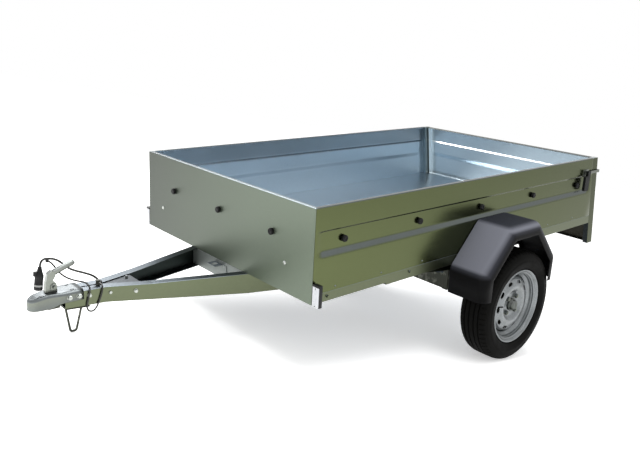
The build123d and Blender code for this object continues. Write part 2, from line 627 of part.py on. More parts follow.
def hub(x):
    """Bearing hub with its flange and dust cap, on the spindle."""
    face = WHEEL_OFFSET - 5.0
    bore = SPINDLE_RADIUS + SPINDLE_CLEARANCE
    housing = Pos((face - 8 - 70) / 2, 0, 0) * Rot(0, 90, 0) * Cylinder(37, face - 8 + 70)
    flange = Pos(face - 4, 0, 0) * Rot(0, 90, 0) * Cylinder(HUB_FLANGE_RADIUS, 8)
    cap = Pos(face + 16, 0, 0) * Rot(0, 90, 0) * Cylinder(25, 32)
    cap = fillet(cap.edges().group_by(Axis.X)[-1], 7)
    hole = Pos((face - 14 - 70) / 2, 0, 0) * Rot(0, 90, 0) * Cylinder(bore, face - 14 + 70)
    return Pos(x, AXLE_Y, AXLE_Z) * (housing + flange + cap - hole)


# ---- axle ----
def axle_beam():
    """Square tube of the rubber-sprung axle."""
    half, size, wall = BEAM_HALF_LENGTH, BEAM_SIZE / 2, BEAM_WALL
    tube = block(-half, half, BEAM_Y - size, BEAM_Y + size, BEAM_Z - size, BEAM_Z + size)
    return tube - block(-half, half, BEAM_Y - size + wall, BEAM_Y + size - wall,
                        BEAM_Z - size + wall, BEAM_Z + size - wall)


def axle_brackets():
    """Plates that hang the axle tube from the drawbar's arms."""
    plate = BRACKET_PLATE
    size = BEAM_SIZE / 2
    x1 = arm_face_x(BEAM_Y - size) - ARM_SHEET
    top = -ARM_HEIGHT
    bracket = block(x1 - BRACKET_WIDTH, x1, BEAM_Y - size, BEAM_Y + size, BEAM_TOP, top)
    bracket += block(x1 - 2 * BRACKET_WIDTH, x1 + BRACKET_WIDTH / 2, BEAM_Y - size, BEAM_Y + size,
                     BEAM_TOP, BEAM_TOP + plate)
    for y0 in (BEAM_Y - size - plate, BEAM_Y + size):
        bracket += block(x1 - BRACKET_WIDTH, x1, y0, y0 + plate, BEAM_Z - size, top)
    return pair(bracket)


def axle_arm():
    """Left trailing arm with the square end in the tube and the wheel's spindle."""
    x0 = BEAM_HALF_LENGTH + ARM_PLATE_GAP
    x1 = x0 + ARM_PLATE
    reach = hypot(AXLE_Y - BEAM_Y, AXLE_Z - BEAM_Z)
    slope = degrees(atan2(AXLE_Z - BEAM_Z, AXLE_Y - BEAM_Y))
    half_front, half_rear = 30.0, 24.0
    outline = [(0, -half_front), (reach, -half_rear), (reach, half_rear), (0, half_front)]
    plate = along_x(outline, 0, x1 - x0)
    ends = Pos((x1 - x0) / 2, 0, 0) * Rot(0, 90, 0) * Cylinder(half_front, x1 - x0)
    ends += Pos((x1 - x0) / 2, reach, 0) * Rot(0, 90, 0) * Cylinder(half_rear, x1 - x0)
    arm = Pos(x0, BEAM_Y, BEAM_Z) * Rot(slope, 0, 0) * (plate + ends)
    core = BEAM_SIZE / 2 - BEAM_WALL - SEAT_GAP
    arm += block(x0 - 60, x0, BEAM_Y - core, BEAM_Y + core, BEAM_Z - core, BEAM_Z + core)
    spindle_end = WHEEL_X + WHEEL_OFFSET - 5.0 - 14.0 - 4.0
    arm += bar((x1 - 1, AXLE_Y, AXLE_Z), (spindle_end, AXLE_Y, AXLE_Z), SPINDLE_RADIUS)
    arm += bar((x1 - 1, AXLE_Y, AXLE_Z), (WHEEL_X - 70.0 - 3.0, AXLE_Y, AXLE_Z), SPINDLE_RADIUS + 8)
    return arm


# ---- mudguards ----
def guard_outline(inset, x):
    """Side outline of the mudguard, set in from its outer surface and open below."""
    half = GUARD_HALF_LENGTH
    points = [(-half, GUARD_BOTTOM_Z), (-half, GUARD_CREASE_Z), (-GUARD_TOP_HALF, GUARD_TOP_Z),
              (GUARD_TOP_HALF, GUARD_TOP_Z), (half, GUARD_CREASE_Z), (half, GUARD_BOTTOM_Z)]
    # Each bend moves in along the bisector of its two edges.
    slope = atan2(GUARD_TOP_Z - GUARD_CREASE_Z, half - GUARD_TOP_HALF)
    crease_shift = inset * tan((pi / 2 - slope) / 2)
    top_shift = inset * tan(slope / 2)
    moved = [(-half + inset, GUARD_BOTTOM_Z), (-half + inset, GUARD_CREASE_Z - crease_shift),
             (-GUARD_TOP_HALF + top_shift, GUARD_TOP_Z - inset),
             (GUARD_TOP_HALF - top_shift, GUARD_TOP_Z - inset),
             (half - inset, GUARD_CREASE_Z - crease_shift), (half - inset, GUARD_BOTTOM_Z)]
    outline = moved if inset else points
    below = GUARD_BOTTOM_Z - (1.0 if inset else 0.0)
    outline = [(GUARD_CENTRE_Y + y, below if z == GUARD_BOTTOM_Z else z) for y, z in outline]
    corners = [(x, y, z) for y, z in outline]
    face = make_face(Polyline(*corners, close=True))
    upper = [v for v in face.vertices() if v.Z > below + 1.0]
    return fillet(upper, max(GUARD_CORNER - inset, 6.0))


def mudguard():
    """Left mudguard: a plastic shell with an outer skirt and an inner bolting flange."""
    x0, x1, wall = GUARD_INNER_X, GUARD_OUTER_X, GUARD_WALL
    shell = extrude(guard_outline(0, x0), amount=x1 - x0, dir=(1, 0, 0))
    layers = ((x0 + wall, x1 - wall, wall), (x0 - 1, x0 + wall + 1, GUARD_FLANGE),
              (x1 - wall - 1, x1 + 1, GUARD_SKIRT))
    for start, end, inset in layers:
        shell -= extrude(guard_outline(inset, start), amount=end - start, dir=(1, 0, 0))
    return shell


# ---- tailgate ----
def tailgate_panel():
    """Folded pan of the tailgate, with the walls' pressed band."""
    z0, z1 = GATE_BOTTOM, WALL_HEIGHT
    length = 2 * GATE_HALF
    sheet = swaged_sheet(length, z0, z1, GATE_SHEET)
    for y0, y1 in ((0, GATE_SHEET), (length - GATE_SHEET, length)):
        sheet += block(0, GATE_DEPTH, y0, y1, z0, z1)
    sheet += block(0, GATE_DEPTH, 0, length, z0, z0 + GATE_SHEET)
    sheet += block(0, GATE_DEPTH, 0, length, z1 - GATE_SHEET, z1)
    across = Rot(0, 0, -90) * sheet
    return raked(Pos(-GATE_HALF, BOX_LENGTH, 0) * across)


def knuckles(centre, places):
    """Tubes of one hinge at the given places, counted in knuckle lengths from its middle."""
    tubes = []
    pitch = KNUCKLE_LENGTH + KNUCKLE_GAP
    for place in places:
        x0 = centre + place * pitch - KNUCKLE_LENGTH / 2
        tubes.append(bar((x0, HINGE_Y, HINGE_Z), (x0 + KNUCKLE_LENGTH, HINGE_Y, HINGE_Z),
                         HINGE_KNUCKLE_RADIUS))
    return tubes


def gate_hinges():
    """Moving halves of the tailgate's hinges: a leaf on the pan and one knuckle each."""
    hinges = []
    hole = HINGE_PIN_RADIUS + SPINDLE_CLEARANCE
    for centre in HINGE_CENTRES:
        half = KNUCKLE_LENGTH / 2
        tube = knuckles(centre, (0,))[0]
        leaf = block(centre - half, centre + half, BOX_LENGTH, BOX_LENGTH + HINGE_LEAF,
                     HINGE_Z, GATE_BOTTOM + LEAF_HEIGHT)
        bore = bar((centre - 99, HINGE_Y, HINGE_Z), (centre + 99, HINGE_Y, HINGE_Z), hole)
        hinges.append(raked(tube + leaf - bore))
    return Compound(children=hinges)


def fixed_hinges():
    """Fixed halves: a leaf on the rear member, the outer knuckles and the pin."""
    hinges = []
    reach = 1.5 * KNUCKLE_LENGTH + KNUCKLE_GAP
    low = HINGE_Z - GATE_BOTTOM_GAP / 2 - LEAF_HEIGHT
    for centre in HINGE_CENTRES:
        hinge = bar((centre - reach, HINGE_Y, HINGE_Z), (centre + reach, HINGE_Y, HINGE_Z),
                    HINGE_PIN_RADIUS)
        for tube in knuckles(centre, (-1, 1)):
            hinge += tube
        for side in (-1, 1):
            x0 = centre + side * (KNUCKLE_LENGTH + KNUCKLE_GAP) - KNUCKLE_LENGTH / 2
            hinge += block(x0, x0 + KNUCKLE_LENGTH, BOX_LENGTH, BOX_LENGTH + HINGE_LEAF, low, HINGE_Z)
        hinge += block(centre - reach, centre + reach, BOX_LENGTH, BOX_LENGTH + HINGE_LEAF,
                       low, low + HINGE_FOOT)
        hinges.append(raked(hinge))
    return Compound(children=hinges)


def gate_latches():
    """Latches on the side panels, closed: the base, the pivot and the strap with its claw behind the post."""
    x0 = HALF_WIDTH
    strap_x = x0 + LATCH_PLATE + 1
    strap_rear = strap_x + LATCH_STRAP
    y0 = LATCH_PIVOT_Y
    claw_y = rear_y(LATCH_PIVOT_Z) + LATCH_CLAW_REACH
    half = LATCH_STRAP_HEIGHT / 2
    base = block(x0, x0 + LATCH_PLATE, y0 - LATCH_BASE / 2, y0 + LATCH_BASE / 2,
                 LATCH_PIVOT_Z - LATCH_BASE / 3, LATCH_PIVOT_Z + LATCH_BASE / 3)
    arm = block(strap_x, strap_rear, y0 - half, claw_y, LATCH_PIVOT_Z - half, LATCH_PIVOT_Z + half)
    claw = block(POST_INNER_X + 6, strap_rear, claw_y - LATCH_STRAP, claw_y,
                 LATCH_PIVOT_Z - half, LATCH_PIVOT_Z + half)
    pivot = bar((x0, y0, LATCH_PIVOT_Z), (x0 + LATCH_PIVOT_LENGTH, y0, LATCH_PIVOT_Z), LATCH_PIVOT_RADIUS)
    return pair(base + arm + claw + pivot)


def latch_grips():
    """Black grips of the two latches: a narrow head on the pivot and a wide flat grip below."""
    x0 = HALF_WIDTH + LATCH_PIVOT_LENGTH + SEAT_GAP
    x1 = x0 + LATCH_GRIP_DEPTH
    middle = LATCH_PIVOT_Y - LATCH_GRIP_OFFSET
    half = LATCH_GRIP_WIDTH / 2
    top = LATCH_PIVOT_Z - LATCH_HEAD_HALF
    wide = block(x0, x1, middle - half, middle + half, top - LATCH_GRIP_HEIGHT, top)
    wide = fillet(wide.edges().filter_by(Axis.X), LATCH_GRIP_ROUND)
    head = block(x0, x1, LATCH_PIVOT_Y - LATCH_HEAD_HALF, LATCH_PIVOT_Y + LATCH_HEAD_HALF,
                 top - LATCH_GRIP_ROUND, LATCH_PIVOT_Z + LATCH_HEAD_HALF)
    return pair(wide + head)


# ---- fittings ----
def tarp_hook(base, outwards):
    """Rubber hook: a neck and a round head, standing out from base."""
    start = Vector(*base)
    way = Vector(*outwards)
    head_start = start + way * HOOK_NECK
    tip = start + way * HOOK_LENGTH
    return bar(tuple(start), tuple(tip), HOOK_NECK_RADIUS) + bar(
        tuple(head_start), tuple(tip), HOOK_RADIUS)


def side_hooks():
    """Row of hooks in the left panel's pressed band."""
    x = HALF_WIDTH - SWAGE_DEPTH
    return [tarp_hook((x, SIDE_HOOK_FIRST_Y + i * SIDE_HOOK_PITCH, SIDE_HOOK_Z), (1, 0, 0))
            for i in range(SIDE_HOOK_COUNT)]


def end_hooks(y, outwards, z):
    """Three hooks across the front panel or the tailgate."""
    return [tarp_hook((k * FRONT_HOOK_PITCH, y, z), (0, outwards, 0)) for k in (-1, 0, 1)]


def front_marker():
    """Left front marker: the housing with its ear on the side rail."""
    x0 = HALF_WIDTH
    z1 = MARKER_BOTTOM + MARKER_HEIGHT
    ear = 3.0
    housing = block(x0 + ear, x0 + ear + MARKER_WIDTH, 2, 2 + MARKER_DEPTH, MARKER_BOTTOM, z1)
    housing += block(x0, x0 + ear + 1, 8, 34, RAIL_BOTTOM_FRONT + 4, RAIL_TOP - 4)
    housing += block(x0, x0 + ear + 1, 8, 34, RAIL_BOTTOM_FRONT + 4, z1 - 10)
    return housing


def marker_lens():
    """White lens on the front of the left marker."""
    x0 = HALF_WIDTH + 3.0
    edge = 1.5
    return block(x0 + edge, x0 + MARKER_WIDTH - edge, 2 - MARKER_LENS, 2,
                 MARKER_BOTTOM + edge, MARKER_BOTTOM + MARKER_HEIGHT - edge)


def rear_lamp():
    """Left rear lamp on the lamp panel."""
    x1 = POST_INNER_X - 4.0
    z_middle = upright_z(LAMP_PANEL_BOTTOM / 2)
    lamp = block(x1 - LAMP_WIDTH, x1, BOX_LENGTH, BOX_LENGTH + LAMP_DEPTH,
                 z_middle - LAMP_HEIGHT / 2, z_middle + LAMP_HEIGHT / 2)
    return raked(fillet(lamp.edges().filter_by(Axis.Y), 8))


def number_plate():
    """Blank number plate between the rear lamps."""
    z_middle = upright_z(LAMP_PANEL_BOTTOM / 2)
    return raked(block(-PLATE_WIDTH / 2, PLATE_WIDTH / 2, BOX_LENGTH, BOX_LENGTH + PLATE_SHEET,
                       z_middle - PLATE_HEIGHT / 2, z_middle + PLATE_HEIGHT / 2))


# ---- cords ----
GLAND_Y = -430.0
GLAND_Z = -40.0
GLAND_LENGTH = 22.0
GLAND_X = arm_face_x(GLAND_Y) - ARM_SHEET
CABLE_HOLE_X = -16.0         # where the cable comes up through the neck
CABLE_HOLE_Y = -546.0
CABLE_HOLE_RADIUS = 9.0
GROMMET_RADIUS = 12.0
GROMMET_BORE = 7.0
GROMMET_HEIGHT = 4.0

# Middle line of the electric cable, from its gland inside the left arm to the top of the plug.
CABLE_ROUTE = (
    (GLAND_X - GLAND_LENGTH, GLAND_Y, GLAND_Z), (24, -430, -40), (-2, -444, -40), (-13, -470, -40),
    (-16, -504, -38), (-16, -532, -29), (-16, -545, -7), (-16, -547, 12), (-16, -557, 27),
    (-16, -574, 42), (-16, -605, 58), (-19, -635, 71), (-21, -657, 83), (-22, -673, 98),
    (-22, -689, 115), (-21, -704, 128), (-16, -724, 139), (-1, -771, 151), (0, -775, 122))

# Middle line of the breakaway wire, from its clip on the cable, round the drawbar, to its anchor.
WIRE_ROUTE = (
    (-19, -743, 134), (-20, -734, 129), (-21, -723, 117), (-21, -713, 102), (-20, -704, 86),
    (-18, -693, 71), (-12, -678, 57), (-4, -658, 45), (7, -639, 39), (21, -622, 36), (36, -614, 31),
    (49, -611, 19), (51, -614, 0), (50.5, -618, -20), (50, -624, -42), (50, -626, -62), (50, -616, -76),
    (50, -600, -77), (50, -588, -65), (50, -579, -48), (51, -570, -24), (52, -564, -2), (47, -560, 14),
    (29, -560, 19), (10, -560, 17))


def cord_radii(route):
    """Largest arcs that the runs allow, one for each inner point; an end run serves one arc only."""
    points = [Vector(*p) for p in route]
    runs = [(b - a).length for a, b in zip(points, points[1:])]
    runs[0] *= 2
    runs[-1] *= 2
    radii = []
    for i, (before, here, after) in enumerate(zip(points, points[1:], points[2:])):
        turn = radians((here - before).get_angle(after - here))
        radii.append(0.45 * min(runs[i], runs[i + 1]) / tan(turn / 2))
    return radii


def cord(route, diameter):
    """Plain tube along the route: straight runs joined by tangent arcs."""
    path = FilletPolyline(*route, radius=cord_radii(route))
    return sweep(Plane(origin=path @ 0, z_dir=path % 0) * Circle(diameter / 2), path=path)


def cable_gland():
    """Grommet on the left arm's inner face, where the cable comes out."""
    grommet = bar((GLAND_X + 6, GLAND_Y, GLAND_Z), (GLAND_X - GLAND_LENGTH, GLAND_Y, GLAND_Z), 9.0)
    return grommet - along_z(arm_strip(-ARM_FLANGE, ARM_SHEET), -ARM_HEIGHT, 0)


def plug():
    """Trailer plug on the end of the cable: sleeve, body, collar and the side lug of its lid."""
    levels = ((0.0, 7.0), (14.0, 11.5), (30.0, 14.5), (34.0, PLUG_RADIUS), (PLUG_LENGTH, PLUG_RADIUS))
    outline = [(0, 0)] + [(radius, depth) for depth, radius in levels] + [(0, PLUG_LENGTH)]
    face = make_face(Polyline(*[(r, 0, d) for r, d in outline], close=True))
    body = revolve(face, axis=Axis.Z)
    body += Pos(0, PLUG_RADIUS, PLUG_LUG_DEPTH) * Box(PLUG_LUG, PLUG_LUG, 1.5 * PLUG_LUG)
    end = Vector(*CABLE_ROUTE[-1])
    return Plane(origin=end, x_dir=(1, 0, 0), z_dir=end - Vector(*CABLE_ROUTE[-2])) * body


def wire_anchor():
    """Eye bolted on top of the drawbar, which holds the wire's end."""
    x, y, z = WIRE_ROUTE[-1]
    base = neck_top(y - 7)
    eye = block(x - 10, x, y - 7, y + 7, base, z + 9)
    return eye + block(x - 12, x + 5, y - 7, y + 7, base, base + 3)


def wire_clip():
    """Plastic clip that ties the wire to the cable."""
    x, y, z = WIRE_ROUTE[0]
    return block(x - 5, x + 15, y - 6, y + 8, z - 4, z + 16)


# ---- all pieces, in the level frame ----
def level_pieces():
    """Node name to shape, in the trailer's level frame."""
    pieces = {}
    for name, shape in (("side_panel", side_panel()), ("side_rail", side_rail()),
                        ("mudguard", mudguard()),
                        ("tyre", tyre(WHEEL_X)), ("rim", rim(WHEEL_X)), ("hub", hub(WHEEL_X))):
        pieces[name + "_left"], pieces[name + "_right"] = left_and_right(shape)
    for name, shape in (("axle_arms", axle_arm()), ("front_markers", front_marker()),
                        ("marker_lenses", marker_lens()), ("rear_lamps", rear_lamp())):
        pieces[name] = pair(shape)
    arm_left, arm_right = left_and_right(drawbar_arm())
    pieces["drawbar_arm_left"], pieces["drawbar_arm_right"] = arm_left, arm_right - cable_hole()
    right_hooks = [mirror(hook, about=Plane.YZ) for hook in side_hooks()]
    box_hooks = side_hooks() + right_hooks + end_hooks(0, -1, FRONT_HOOK_Z)
    pieces["tarp_hooks"] = Compound(children=box_hooks)
    gate_hooks = [raked(hook) for hook in end_hooks(BOX_LENGTH - SWAGE_DEPTH, 1, SIDE_HOOK_Z)]
    pieces["tarp_hooks_tailgate"] = Compound(children=gate_hooks)
    for make in (front_panel, corner_posts, floor_sheet, cross_members, rear_member, rear_posts,
                 lamp_panel, number_plate, drawbar_member, plug_holder, neck_plate, neck_grommet,
                 coupling_head, ball_clamp, coupling_lever, prop_stand, axle_beam, axle_brackets,
                 tailgate_panel, gate_hinges, fixed_hinges, gate_latches, latch_grips, cable_gland,
                 plug, wire_anchor, wire_clip):
        pieces[make.__name__] = make()
    pieces["cable"] = cord(CABLE_ROUTE, CABLE_DIAMETER)
    pieces["breakaway_wire"] = cord(WIRE_ROUTE, WIRE_DIAMETER)
    return pieces


CORD_NODES = ("cable", "plug", "wire_clip", "breakaway_wire", "cable_gland")


# ---- parking ----
def foot_bend():
    """Middle (y, z) of the stand's front bend, which touches the floor."""
    fall = atan2(STAND_TOP_Z - STAND_BEND_Z, STAND_BEND_FRONT_Y - STAND_FRONT_Y)
    return STAND_BEND_FRONT_Y + STAND_BEND_RADIUS * tan(fall / 2), STAND_BEND_Z + STAND_BEND_RADIUS


def parking_angle():
    """Degrees nose-down: the line under the stand's front bend and the tyres becomes the floor."""
    foot_y, foot_z = foot_bend()
    run, drop = AXLE_Y - foot_y, foot_z - AXLE_Z
    down_to_floor = (TYRE_RADIUS - STAND_BEND_RADIUS - STAND_ROD / 2) / hypot(run, drop)
    return degrees(atan2(drop, run) + asin(down_to_floor))


def parking(pieces):
    """Turn about the axle line, then the shift that puts the origin under the box's middle."""
    turn = Pos(0, AXLE_Y, AXLE_Z) * Rot(parking_angle(), 0, 0) * Pos(0, -AXLE_Y, -AXLE_Z)
    boxes = [(turn * shape).bounding_box() for name, shape in pieces.items() if name not in CORD_NODES]
    low_y = min(box.min.Y for box in boxes)
    high_y = max(box.max.Y for box in boxes)
    floor = AXLE_Z - TYRE_RADIUS
    return Pos(0, -(low_y + high_y) / 2, -floor) * turn


def main():
    os.makedirs("parts", exist_ok=True)
    pieces = level_pieces()
    place = parking(pieces)
    for name, shape in pieces.items():
        export_step(place * shape, "parts/" + name + ".step")
    print("parking angle", round(parking_angle(), 3))


if __name__ == "__main__":
    main()
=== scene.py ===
# %% [markdown]
# # A single-axle utility trailer
#
# This lesson dresses a galvanised box trailer, parked on its wheels and on a bent-rod stand. The
# construction model gives every piece its place and size, and here the pieces get rounded folds,
# fasteners, tread and finish. Shapes are drawn in millimetres in the frame in which the trailer stands
# level: X to its left, Y to the tailgate, Z up, from the front panel's lower edge.

import json
import math
import bpy
import bmesh
from mathutils import Matrix, Vector

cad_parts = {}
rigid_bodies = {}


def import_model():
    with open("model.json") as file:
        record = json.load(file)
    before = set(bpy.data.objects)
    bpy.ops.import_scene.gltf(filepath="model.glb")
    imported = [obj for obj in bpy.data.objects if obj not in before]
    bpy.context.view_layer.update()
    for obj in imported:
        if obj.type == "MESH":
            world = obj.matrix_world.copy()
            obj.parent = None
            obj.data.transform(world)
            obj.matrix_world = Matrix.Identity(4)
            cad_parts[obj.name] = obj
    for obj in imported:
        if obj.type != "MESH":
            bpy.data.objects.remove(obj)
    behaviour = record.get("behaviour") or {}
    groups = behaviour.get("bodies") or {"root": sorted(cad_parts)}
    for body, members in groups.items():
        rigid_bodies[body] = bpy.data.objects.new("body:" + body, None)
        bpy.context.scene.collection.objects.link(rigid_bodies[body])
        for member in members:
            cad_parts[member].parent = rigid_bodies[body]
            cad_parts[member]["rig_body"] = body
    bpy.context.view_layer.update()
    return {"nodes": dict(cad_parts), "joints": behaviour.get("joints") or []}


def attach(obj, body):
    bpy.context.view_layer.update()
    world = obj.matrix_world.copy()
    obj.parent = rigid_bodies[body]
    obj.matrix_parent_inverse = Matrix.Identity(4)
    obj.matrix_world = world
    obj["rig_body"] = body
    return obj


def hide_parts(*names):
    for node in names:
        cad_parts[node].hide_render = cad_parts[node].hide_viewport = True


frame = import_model()

# %% [markdown]
# ## From level to parked
#
# The parked trailer leans on its nose. The wheel's axis and the tailgate's hinge are known in both
# positions, so the angle between the two lines is the lean, and it stays right if the stand changes.

# %% The turn from the level frame into the parked one
MM = 0.001
AXLE = Vector((0, 1165, -227))
GATE_HINGE = Vector((0, 2200.541, 45.680))

joint_places = {joint["name"]: Vector(joint["pos_m"]) for joint in frame["joints"]}
axle_parked = joint_places["wheel_left_spin"] * Vector((0, 1, 1))


def slope(line):
    """Angle of a line above the horizontal in the side view."""
    return math.atan2(line.z, line.y)


lean = slope(joint_places["tailgate_hinge"] - axle_parked) - slope(GATE_HINGE - AXLE)
LEAN_TURN = Matrix.Rotation(lean, 4, "X")
LEVEL_TO_PARKED = (Matrix.Translation(axle_parked) @ LEAN_TURN @ Matrix.Scale(MM, 4)
                   @ Matrix.Translation(-AXLE))
print("parked lean:", round(math.degrees(lean), 2), "degrees")


def parked(point):
    """A point of the level frame, in mm, where it is on the parked trailer, in metres."""
    return LEVEL_TO_PARKED @ Vector(point)


def in_scene(name, data):
    """A new object with its data, linked into the scene."""
    made = bpy.data.objects.new(name, data)
    bpy.context.scene.collection.objects.link(made)
    return made


# %% [markdown]
# ## Camera
#
# The camera stands low, ahead of the trailer's left side. Its directions are given in the level frame.

# %% The camera
CAMERA_PLACE = (2391.7, -1603.2, 1024.6)
PICTURE_RIGHT = Vector((0.66377, 0.74614, 0.05174))
PICTURE_UP = Vector((-0.22336, 0.13173, 0.96579))
LENS = 38.27
SENSOR = 36
SHIFT = (0.0016, -0.0469)

camera_data = bpy.data.cameras.new("camera")
camera_data.lens = LENS
camera_data.sensor_width = SENSOR
camera_data.shift_x, camera_data.shift_y = SHIFT
camera_data.clip_end = 100
camera = in_scene("camera", camera_data)
picture_back = PICTURE_RIGHT.cross(PICTURE_UP)
directions = Matrix((PICTURE_RIGHT, PICTURE_UP, picture_back)).transposed().to_4x4()
camera.matrix_world = Matrix.Translation(parked(CAMERA_PLACE)) @ LEAN_TURN @ directions
bpy.context.scene.camera = camera
print("camera at", [round(value, 3) for value in camera.matrix_world.translation])

# %% [markdown]
# ## Building materials from nodes
#
# Every finish is drawn by nodes, with no pictures. Colours are written as a screen shows them, so one
# function turns them linear.


def add(kind, inputs, tree=None, **settings):
    """Adds a node with its settings, and links the inputs that are sockets; they tell its tree."""
    linked = [name for name, value in inputs.items() if isinstance(value, bpy.types.NodeSocket)]
    tree = tree or inputs[linked[0]].id_data
    made = tree.nodes.new(kind)
    for setting, value in settings.items():
        setattr(made, setting, value)
    for name, value in inputs.items():
        if name in linked:
            tree.links.new(value, made.inputs[name])
        else:
            made.inputs[name].default_value = value
    return made


def colour(code):
    """An sRGB hex colour as linear red, green, blue and alpha."""
    values = [int(code[i:i + 2], 16) / 255 for i in (1, 3, 5)]
    return [v / 12.92 if v <= 0.04045 else ((v + 0.055) / 1.055) ** 2.4 for v in values] + [1.0]


def new_material(name):
    """An empty material and its texture coordinates."""
    material = bpy.data.materials.new(name)
    material.use_nodes = True
    material.node_tree.nodes.clear()
    return material, add("ShaderNodeTexCoord", {}, material.node_tree).outputs


def shaded(material, inputs):
    """Gives a material its shader, and hands it back."""
    shader = add("ShaderNodeBsdfPrincipled", inputs)
    add("ShaderNodeOutputMaterial", {"Surface": shader.outputs["BSDF"]})
    return material


def ramp(factor, *stops):
    """A colour ramp over factor, with (position, hex colour) stops."""
    made = add("ShaderNodeValToRGB", {"Fac": factor})
    for stop, (position, code) in enumerate(stops):
        point = made.color_ramp.elements[stop] if stop < 2 else made.color_ramp.elements.new(position)
        point.position = position
        point.color = colour(code)
    return made.outputs["Color"]


def mixed(factor, first, second, blend="MIX"):
    """The colour between two colours, each a socket or a hex colour."""
    first, second = [colour(item) if isinstance(item, str) else item for item in (first, second)]
    return add("ShaderNodeMix", {0: factor, 6: first, 7: second}, data_type="RGBA",
               blend_type=blend).outputs[2]


def times(tint, gain):
    """A colour multiplied by a number."""
    grey = add("ShaderNodeCombineColor", dict.fromkeys(("Red", "Green", "Blue"), gain))
    return mixed(1, tint, grey.outputs["Color"], "MULTIPLY")


def between(value, low, high, out_low=0, out_high=1):
    """Value's place between low and high, as a number from out_low to out_high."""
    return add("ShaderNodeMapRange", {"Value": value, "From Min": low, "From Max": high,
                                      "To Min": out_low, "To Max": out_high}).outputs["Result"]


def noise(place, size_mm, detail=2, roughness=0.5):
    """Soft noise whose patches are about size_mm across, from 0 to 1."""
    return add("ShaderNodeTexNoise", {"Vector": place, "Scale": 1 / (size_mm * MM), "Detail": detail,
                                      "Roughness": roughness}).outputs["Fac"]


def cells(place, size_mm, randomness=1, **settings):
    """Cells about size_mm across: their outputs for colour and distance."""
    return add("ShaderNodeTexVoronoi", {"Vector": place, "Scale": 1 / (size_mm * MM),
                                        "Randomness": randomness}, **settings).outputs


def cell_shade(place, size_mm, **settings):
    """A number from 0 to 1 for each cell."""
    tint = cells(place, size_mm, **settings)["Color"]
    return add("ShaderNodeSeparateColor", {"Color": tint}).outputs["Red"]


def bumped(height, depth_mm, **under):
    """A bump of depth_mm for a height from 0 to 1; Normal may be a bump under it."""
    return add("ShaderNodeBump", {"Height": height, "Distance": depth_mm * MM, "Strength": 1,
                                  **under}).outputs["Normal"]


print("material helpers ready")

# %% [markdown]
# ## The electric cable and the breakaway wire
#
# The cable leaves a gland inside the left arm, comes up through the neck and hangs its plug in front of
# the lever. The breakaway wire goes from a clip on the cable once round the neck to an eye. A stiff line
# has no corners, so each one is a spline that is pulled towards its points.

# %% Curves of the two lines
CABLE_ROUTE = (
    (56.04, -430, -40), (24, -430, -40), (-2, -444, -40), (-13, -470, -40), (-16, -504, -38),
    (-16, -532, -29), (-16, -545, -7), (-16, -547, 12), (-16, -557, 27), (-16, -574, 42),
    (-16, -605, 58), (-19, -635, 71), (-21, -657, 83), (-22, -673, 98), (-22, -689, 115),
    (-21, -704, 128), (-16, -724, 139), (-1, -771, 151), (0, -775, 122))
WIRE_ROUTE = (
    (-19, -743, 134), (-20, -734, 129), (-21, -723, 117), (-21, -713, 102), (-20, -704, 86),
    (-18, -693, 71), (-12, -678, 57), (-4, -658, 45), (7, -639, 39), (21, -622, 36), (36, -614, 31),
    (49, -611, 19), (51, -614, 0), (50.5, -618, -20), (50, -624, -42), (50, -626, -62),
    (50, -616, -76), (50, -600, -77), (50, -588, -65), (50, -579, -48), (51, -570, -24),
    (52, -564, -2), (47, -560, 14), (29, -560, 19), (10, -560, 17))
CABLE_DIAMETER, WIRE_DIAMETER = 8.5, 6.5


def cord_curve(name, route, diameter, node):
    """A round cord; the radius of its control points scales a bevel of one metre."""
    curve = bpy.data.curves.new(name, "CURVE")
    curve.dimensions = "3D"
    curve.bevel_depth = 1.0
    curve.bevel_resolution = 5
    curve.use_fill_caps = True
    spline = curve.splines.new("NURBS")
    spline.points.add(len(route) - 1)
    for control, point in zip(spline.points, route):
        control.co = (*parked(point), 1.0)
        control.radius = diameter * MM / 2
    spline.order_u = 3
    spline.use_endpoint_u = True
    spline.resolution_u = 10
    piece = in_scene(name, curve)
    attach(piece, "chassis")
    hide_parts(node)
    return piece


cable = cord_curve("electric_cable", CABLE_ROUTE, CABLE_DIAMETER, "cable")
wire = cord_curve("breakaway_line", WIRE_ROUTE, WIRE_DIAMETER, "breakaway_wire")
print("cords drawn: 2")

# %% [markdown]
# ## Studio
#
# A mirror-like sheet shows whatever stands round it, so the room is even and white, and a large lamp
# beyond the far side draws bright lines along the folds. The room gives a little less light than it
# shows, so that a colour comes out as written.

# %% The room
WORLD_LIGHT = 0.78
FLOOR_LIFT = 0.46
FLOOR_HALF = 30


def seen_directly(tree):
    """1 for a ray from the camera, a mirror or glass, and 0 for light that is passed on."""
    ray = add("ShaderNodeLightPath", {}, tree).outputs
    seen = add("ShaderNodeMath", {0: ray["Is Camera Ray"], 1: ray["Is Glossy Ray"]}, operation="ADD")
    return add("ShaderNodeMath", {0: seen.outputs[0], 1: ray["Is Transmission Ray"]}, operation="ADD",
               use_clamp=True).outputs[0]


world = bpy.data.worlds.new("white room")
bpy.context.scene.world = world
world.use_nodes = True
world.node_tree.nodes.clear()
strength = between(seen_directly(world.node_tree), 0, 1, WORLD_LIGHT, 1)
white = add("ShaderNodeBackground", {"Color": colour("#FFFFFF"), "Strength": strength})
add("ShaderNodeOutputWorld", {"Surface": white.outputs[0]})
bpy.context.scene.view_settings.view_transform = "Standard"
print("room ready")

